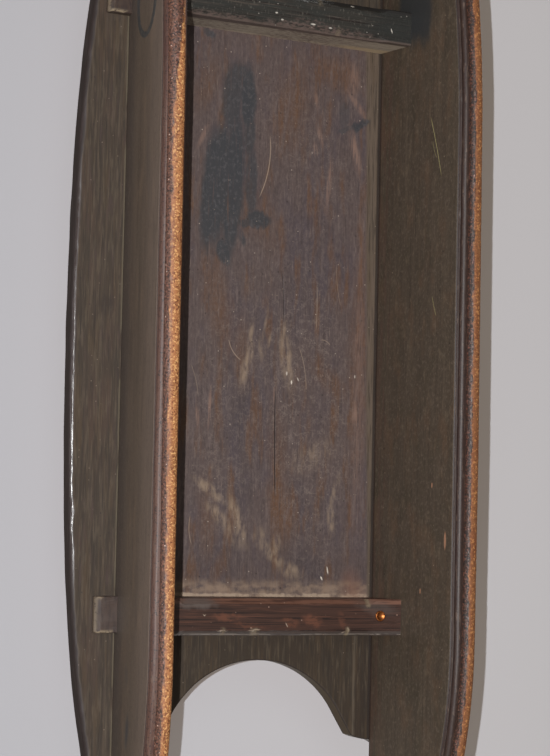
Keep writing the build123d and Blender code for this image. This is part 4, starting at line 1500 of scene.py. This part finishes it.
class SLED_OT_stage(Operator):
    """Set the floor, the backdrop above the deck, the lamps, the world and the camera"""

    bl_idname = "sled.stage"
    bl_label = "Stage"

    def execute(self, context):
        scene = context.scene
        floor = one_sided("pale_floor", linear("#d9d8d6"))
        wall = one_sided("pale_backdrop", linear("#a2a6af"), linear("#bfc1c8"), linear("#5a5045"))
        sheet("floor", -FLOOR_REACH, FLOOR_REACH, -FLOOR_REACH, FLOOR_REACH, 0.0, floor)
        # Its limits in X are exchanged, so that it faces down and shows from below only.
        sheet("backdrop", 0.8, -0.7, -0.6, 0.9, 0.25, wall)
        middle = (0.0, 0.1, 0.12)
        lamp("flash", "SPOT", FLASH_PLACE, middle, 165.0, 0.006, spot_size=radians(50), spot_blend=0.4)
        lamp("fill_below", "AREA", (-0.9, -0.5, -2.2), middle, 5.0, 1.2)
        lamp("fill_left", "AREA", (-2.4, 0.2, -0.7), (0.0, 0.1, 0.08), 10.0, 1.0)
        lamp("fill_side", "AREA", (-2.2, 0.3, 0.7), (0.0, 0.1, 0.08), 1.75, 1.4, spread=radians(100))
        lamp("fill_behind", "AREA", (-0.6, 2.2, -1.5), (0.0, 0.1, 0.10), 7.0, 1.0)
        lamp("key_above", "SUN", (1.7, -1.5, 2.2), middle, 3.6, 0.0, angle=radians(40))
        lamp("fill_above", "AREA", (1.5, 2.4, 2.2), middle, 26.0, 1.4)

        world = bpy.data.worlds.new("pale_room")
        scene.world = world
        world.use_nodes = True
        # The pale room shows behind the sled, and at 0.15 of its strength in gloss. Only the faint
        # glow lights the sled.
        room = Nodes(world.node_tree)
        ray = room.add("ShaderNodeLightPath").outputs
        mirrored = room.add("ShaderNodeMath", {
            0: ray["Is Glossy Ray"], 1: ray["Is Transmission Ray"],
        }, operation="ADD").outputs[0]
        pale = room.add("ShaderNodeMath", {
            0: mirrored, 1: 0.15, 2: ray["Is Camera Ray"],
        }, operation="MULTIPLY_ADD").outputs[0]
        seen = room.add("ShaderNodeBackground", {"Color": linear("#dcdbdb"), "Strength": 1.0})
        glow = room.add("ShaderNodeBackground", {"Color": linear("#ffead2"), "Strength": 0.10})
        both = room.add("ShaderNodeMixShader", {0: pale, 1: glow.outputs[0], 2: seen.outputs[0]})
        room.add("ShaderNodeOutputWorld", {"Surface": both.outputs[0]})

        data = bpy.data.cameras.new("camera")
        data.sensor_fit, data.sensor_width, data.lens = "HORIZONTAL", 36.0, CAMERA_LENS
        data.clip_start, data.clip_end = 0.05, 50.0
        camera = bpy.data.objects.new("camera", data)
        scene.collection.objects.link(camera)
        forward = (CAMERA_AIM - CAMERA_PLACE).normalized()
        right = forward.cross(Vector((0.0, -1.0, 0.0))).normalized()
        upward = right.cross(forward)
        turn = Matrix((right, upward, -forward)).transposed().to_4x4()
        camera.matrix_world = (
            Matrix.Translation(CAMERA_PLACE) @ turn @ Matrix.Rotation(radians(CAMERA_ROLL), 4, "Z")
        )
        scene.camera = camera
        scene.view_settings.view_transform = "Standard"
        return {"FINISHED"}


class SLED_PT_panel(Panel):
    """Sidebar list of the sled's pieces, sizes and colours"""

    bl_label = "Coasting sled"
    bl_idname = "SLED_PT_panel"
    bl_space_type = "VIEW_3D"
    bl_region_type = "UI"
    bl_category = "Sled"

    def draw(self, context):
        for operator in OPERATORS:
            self.layout.operator(operator.bl_idname)
        for group in (context.scene.sled_sizes, context.scene.sled_colours):
            box = self.layout.box()
            for name in group.bl_rna.properties.keys():
                if name not in ("rna_type", "name"):
                    box.prop(group, name)


OPERATORS = (
    SLED_OT_deck, SLED_OT_runners, SLED_OT_stripes, SLED_OT_shoes, SLED_OT_cleats, SLED_OT_rung,
    SLED_OT_nails, SLED_OT_stage,
)
CLASSES = (SledSizes, SledColours, *OPERATORS, SLED_PT_panel)


def register():
    for item in CLASSES:
        bpy.utils.register_class(item)
    bpy.types.Scene.sled_sizes = PointerProperty(type=SledSizes)
    bpy.types.Scene.sled_colours = PointerProperty(type=SledColours)


def unregister():
    del bpy.types.Scene.sled_colours
    del bpy.types.Scene.sled_sizes
    for item in reversed(CLASSES):
        bpy.utils.unregister_class(item)


def main():
    """Register the add-on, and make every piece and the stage."""
    register()
    bpy.ops.sled.deck()
    bpy.ops.sled.runners()
    bpy.ops.sled.stripes()
    bpy.ops.sled.shoes()
    bpy.ops.sled.cleats()
    bpy.ops.sled.rung()
    bpy.ops.sled.nails()
    bpy.ops.sled.stage()


if __name__ == "__main__":
    main()
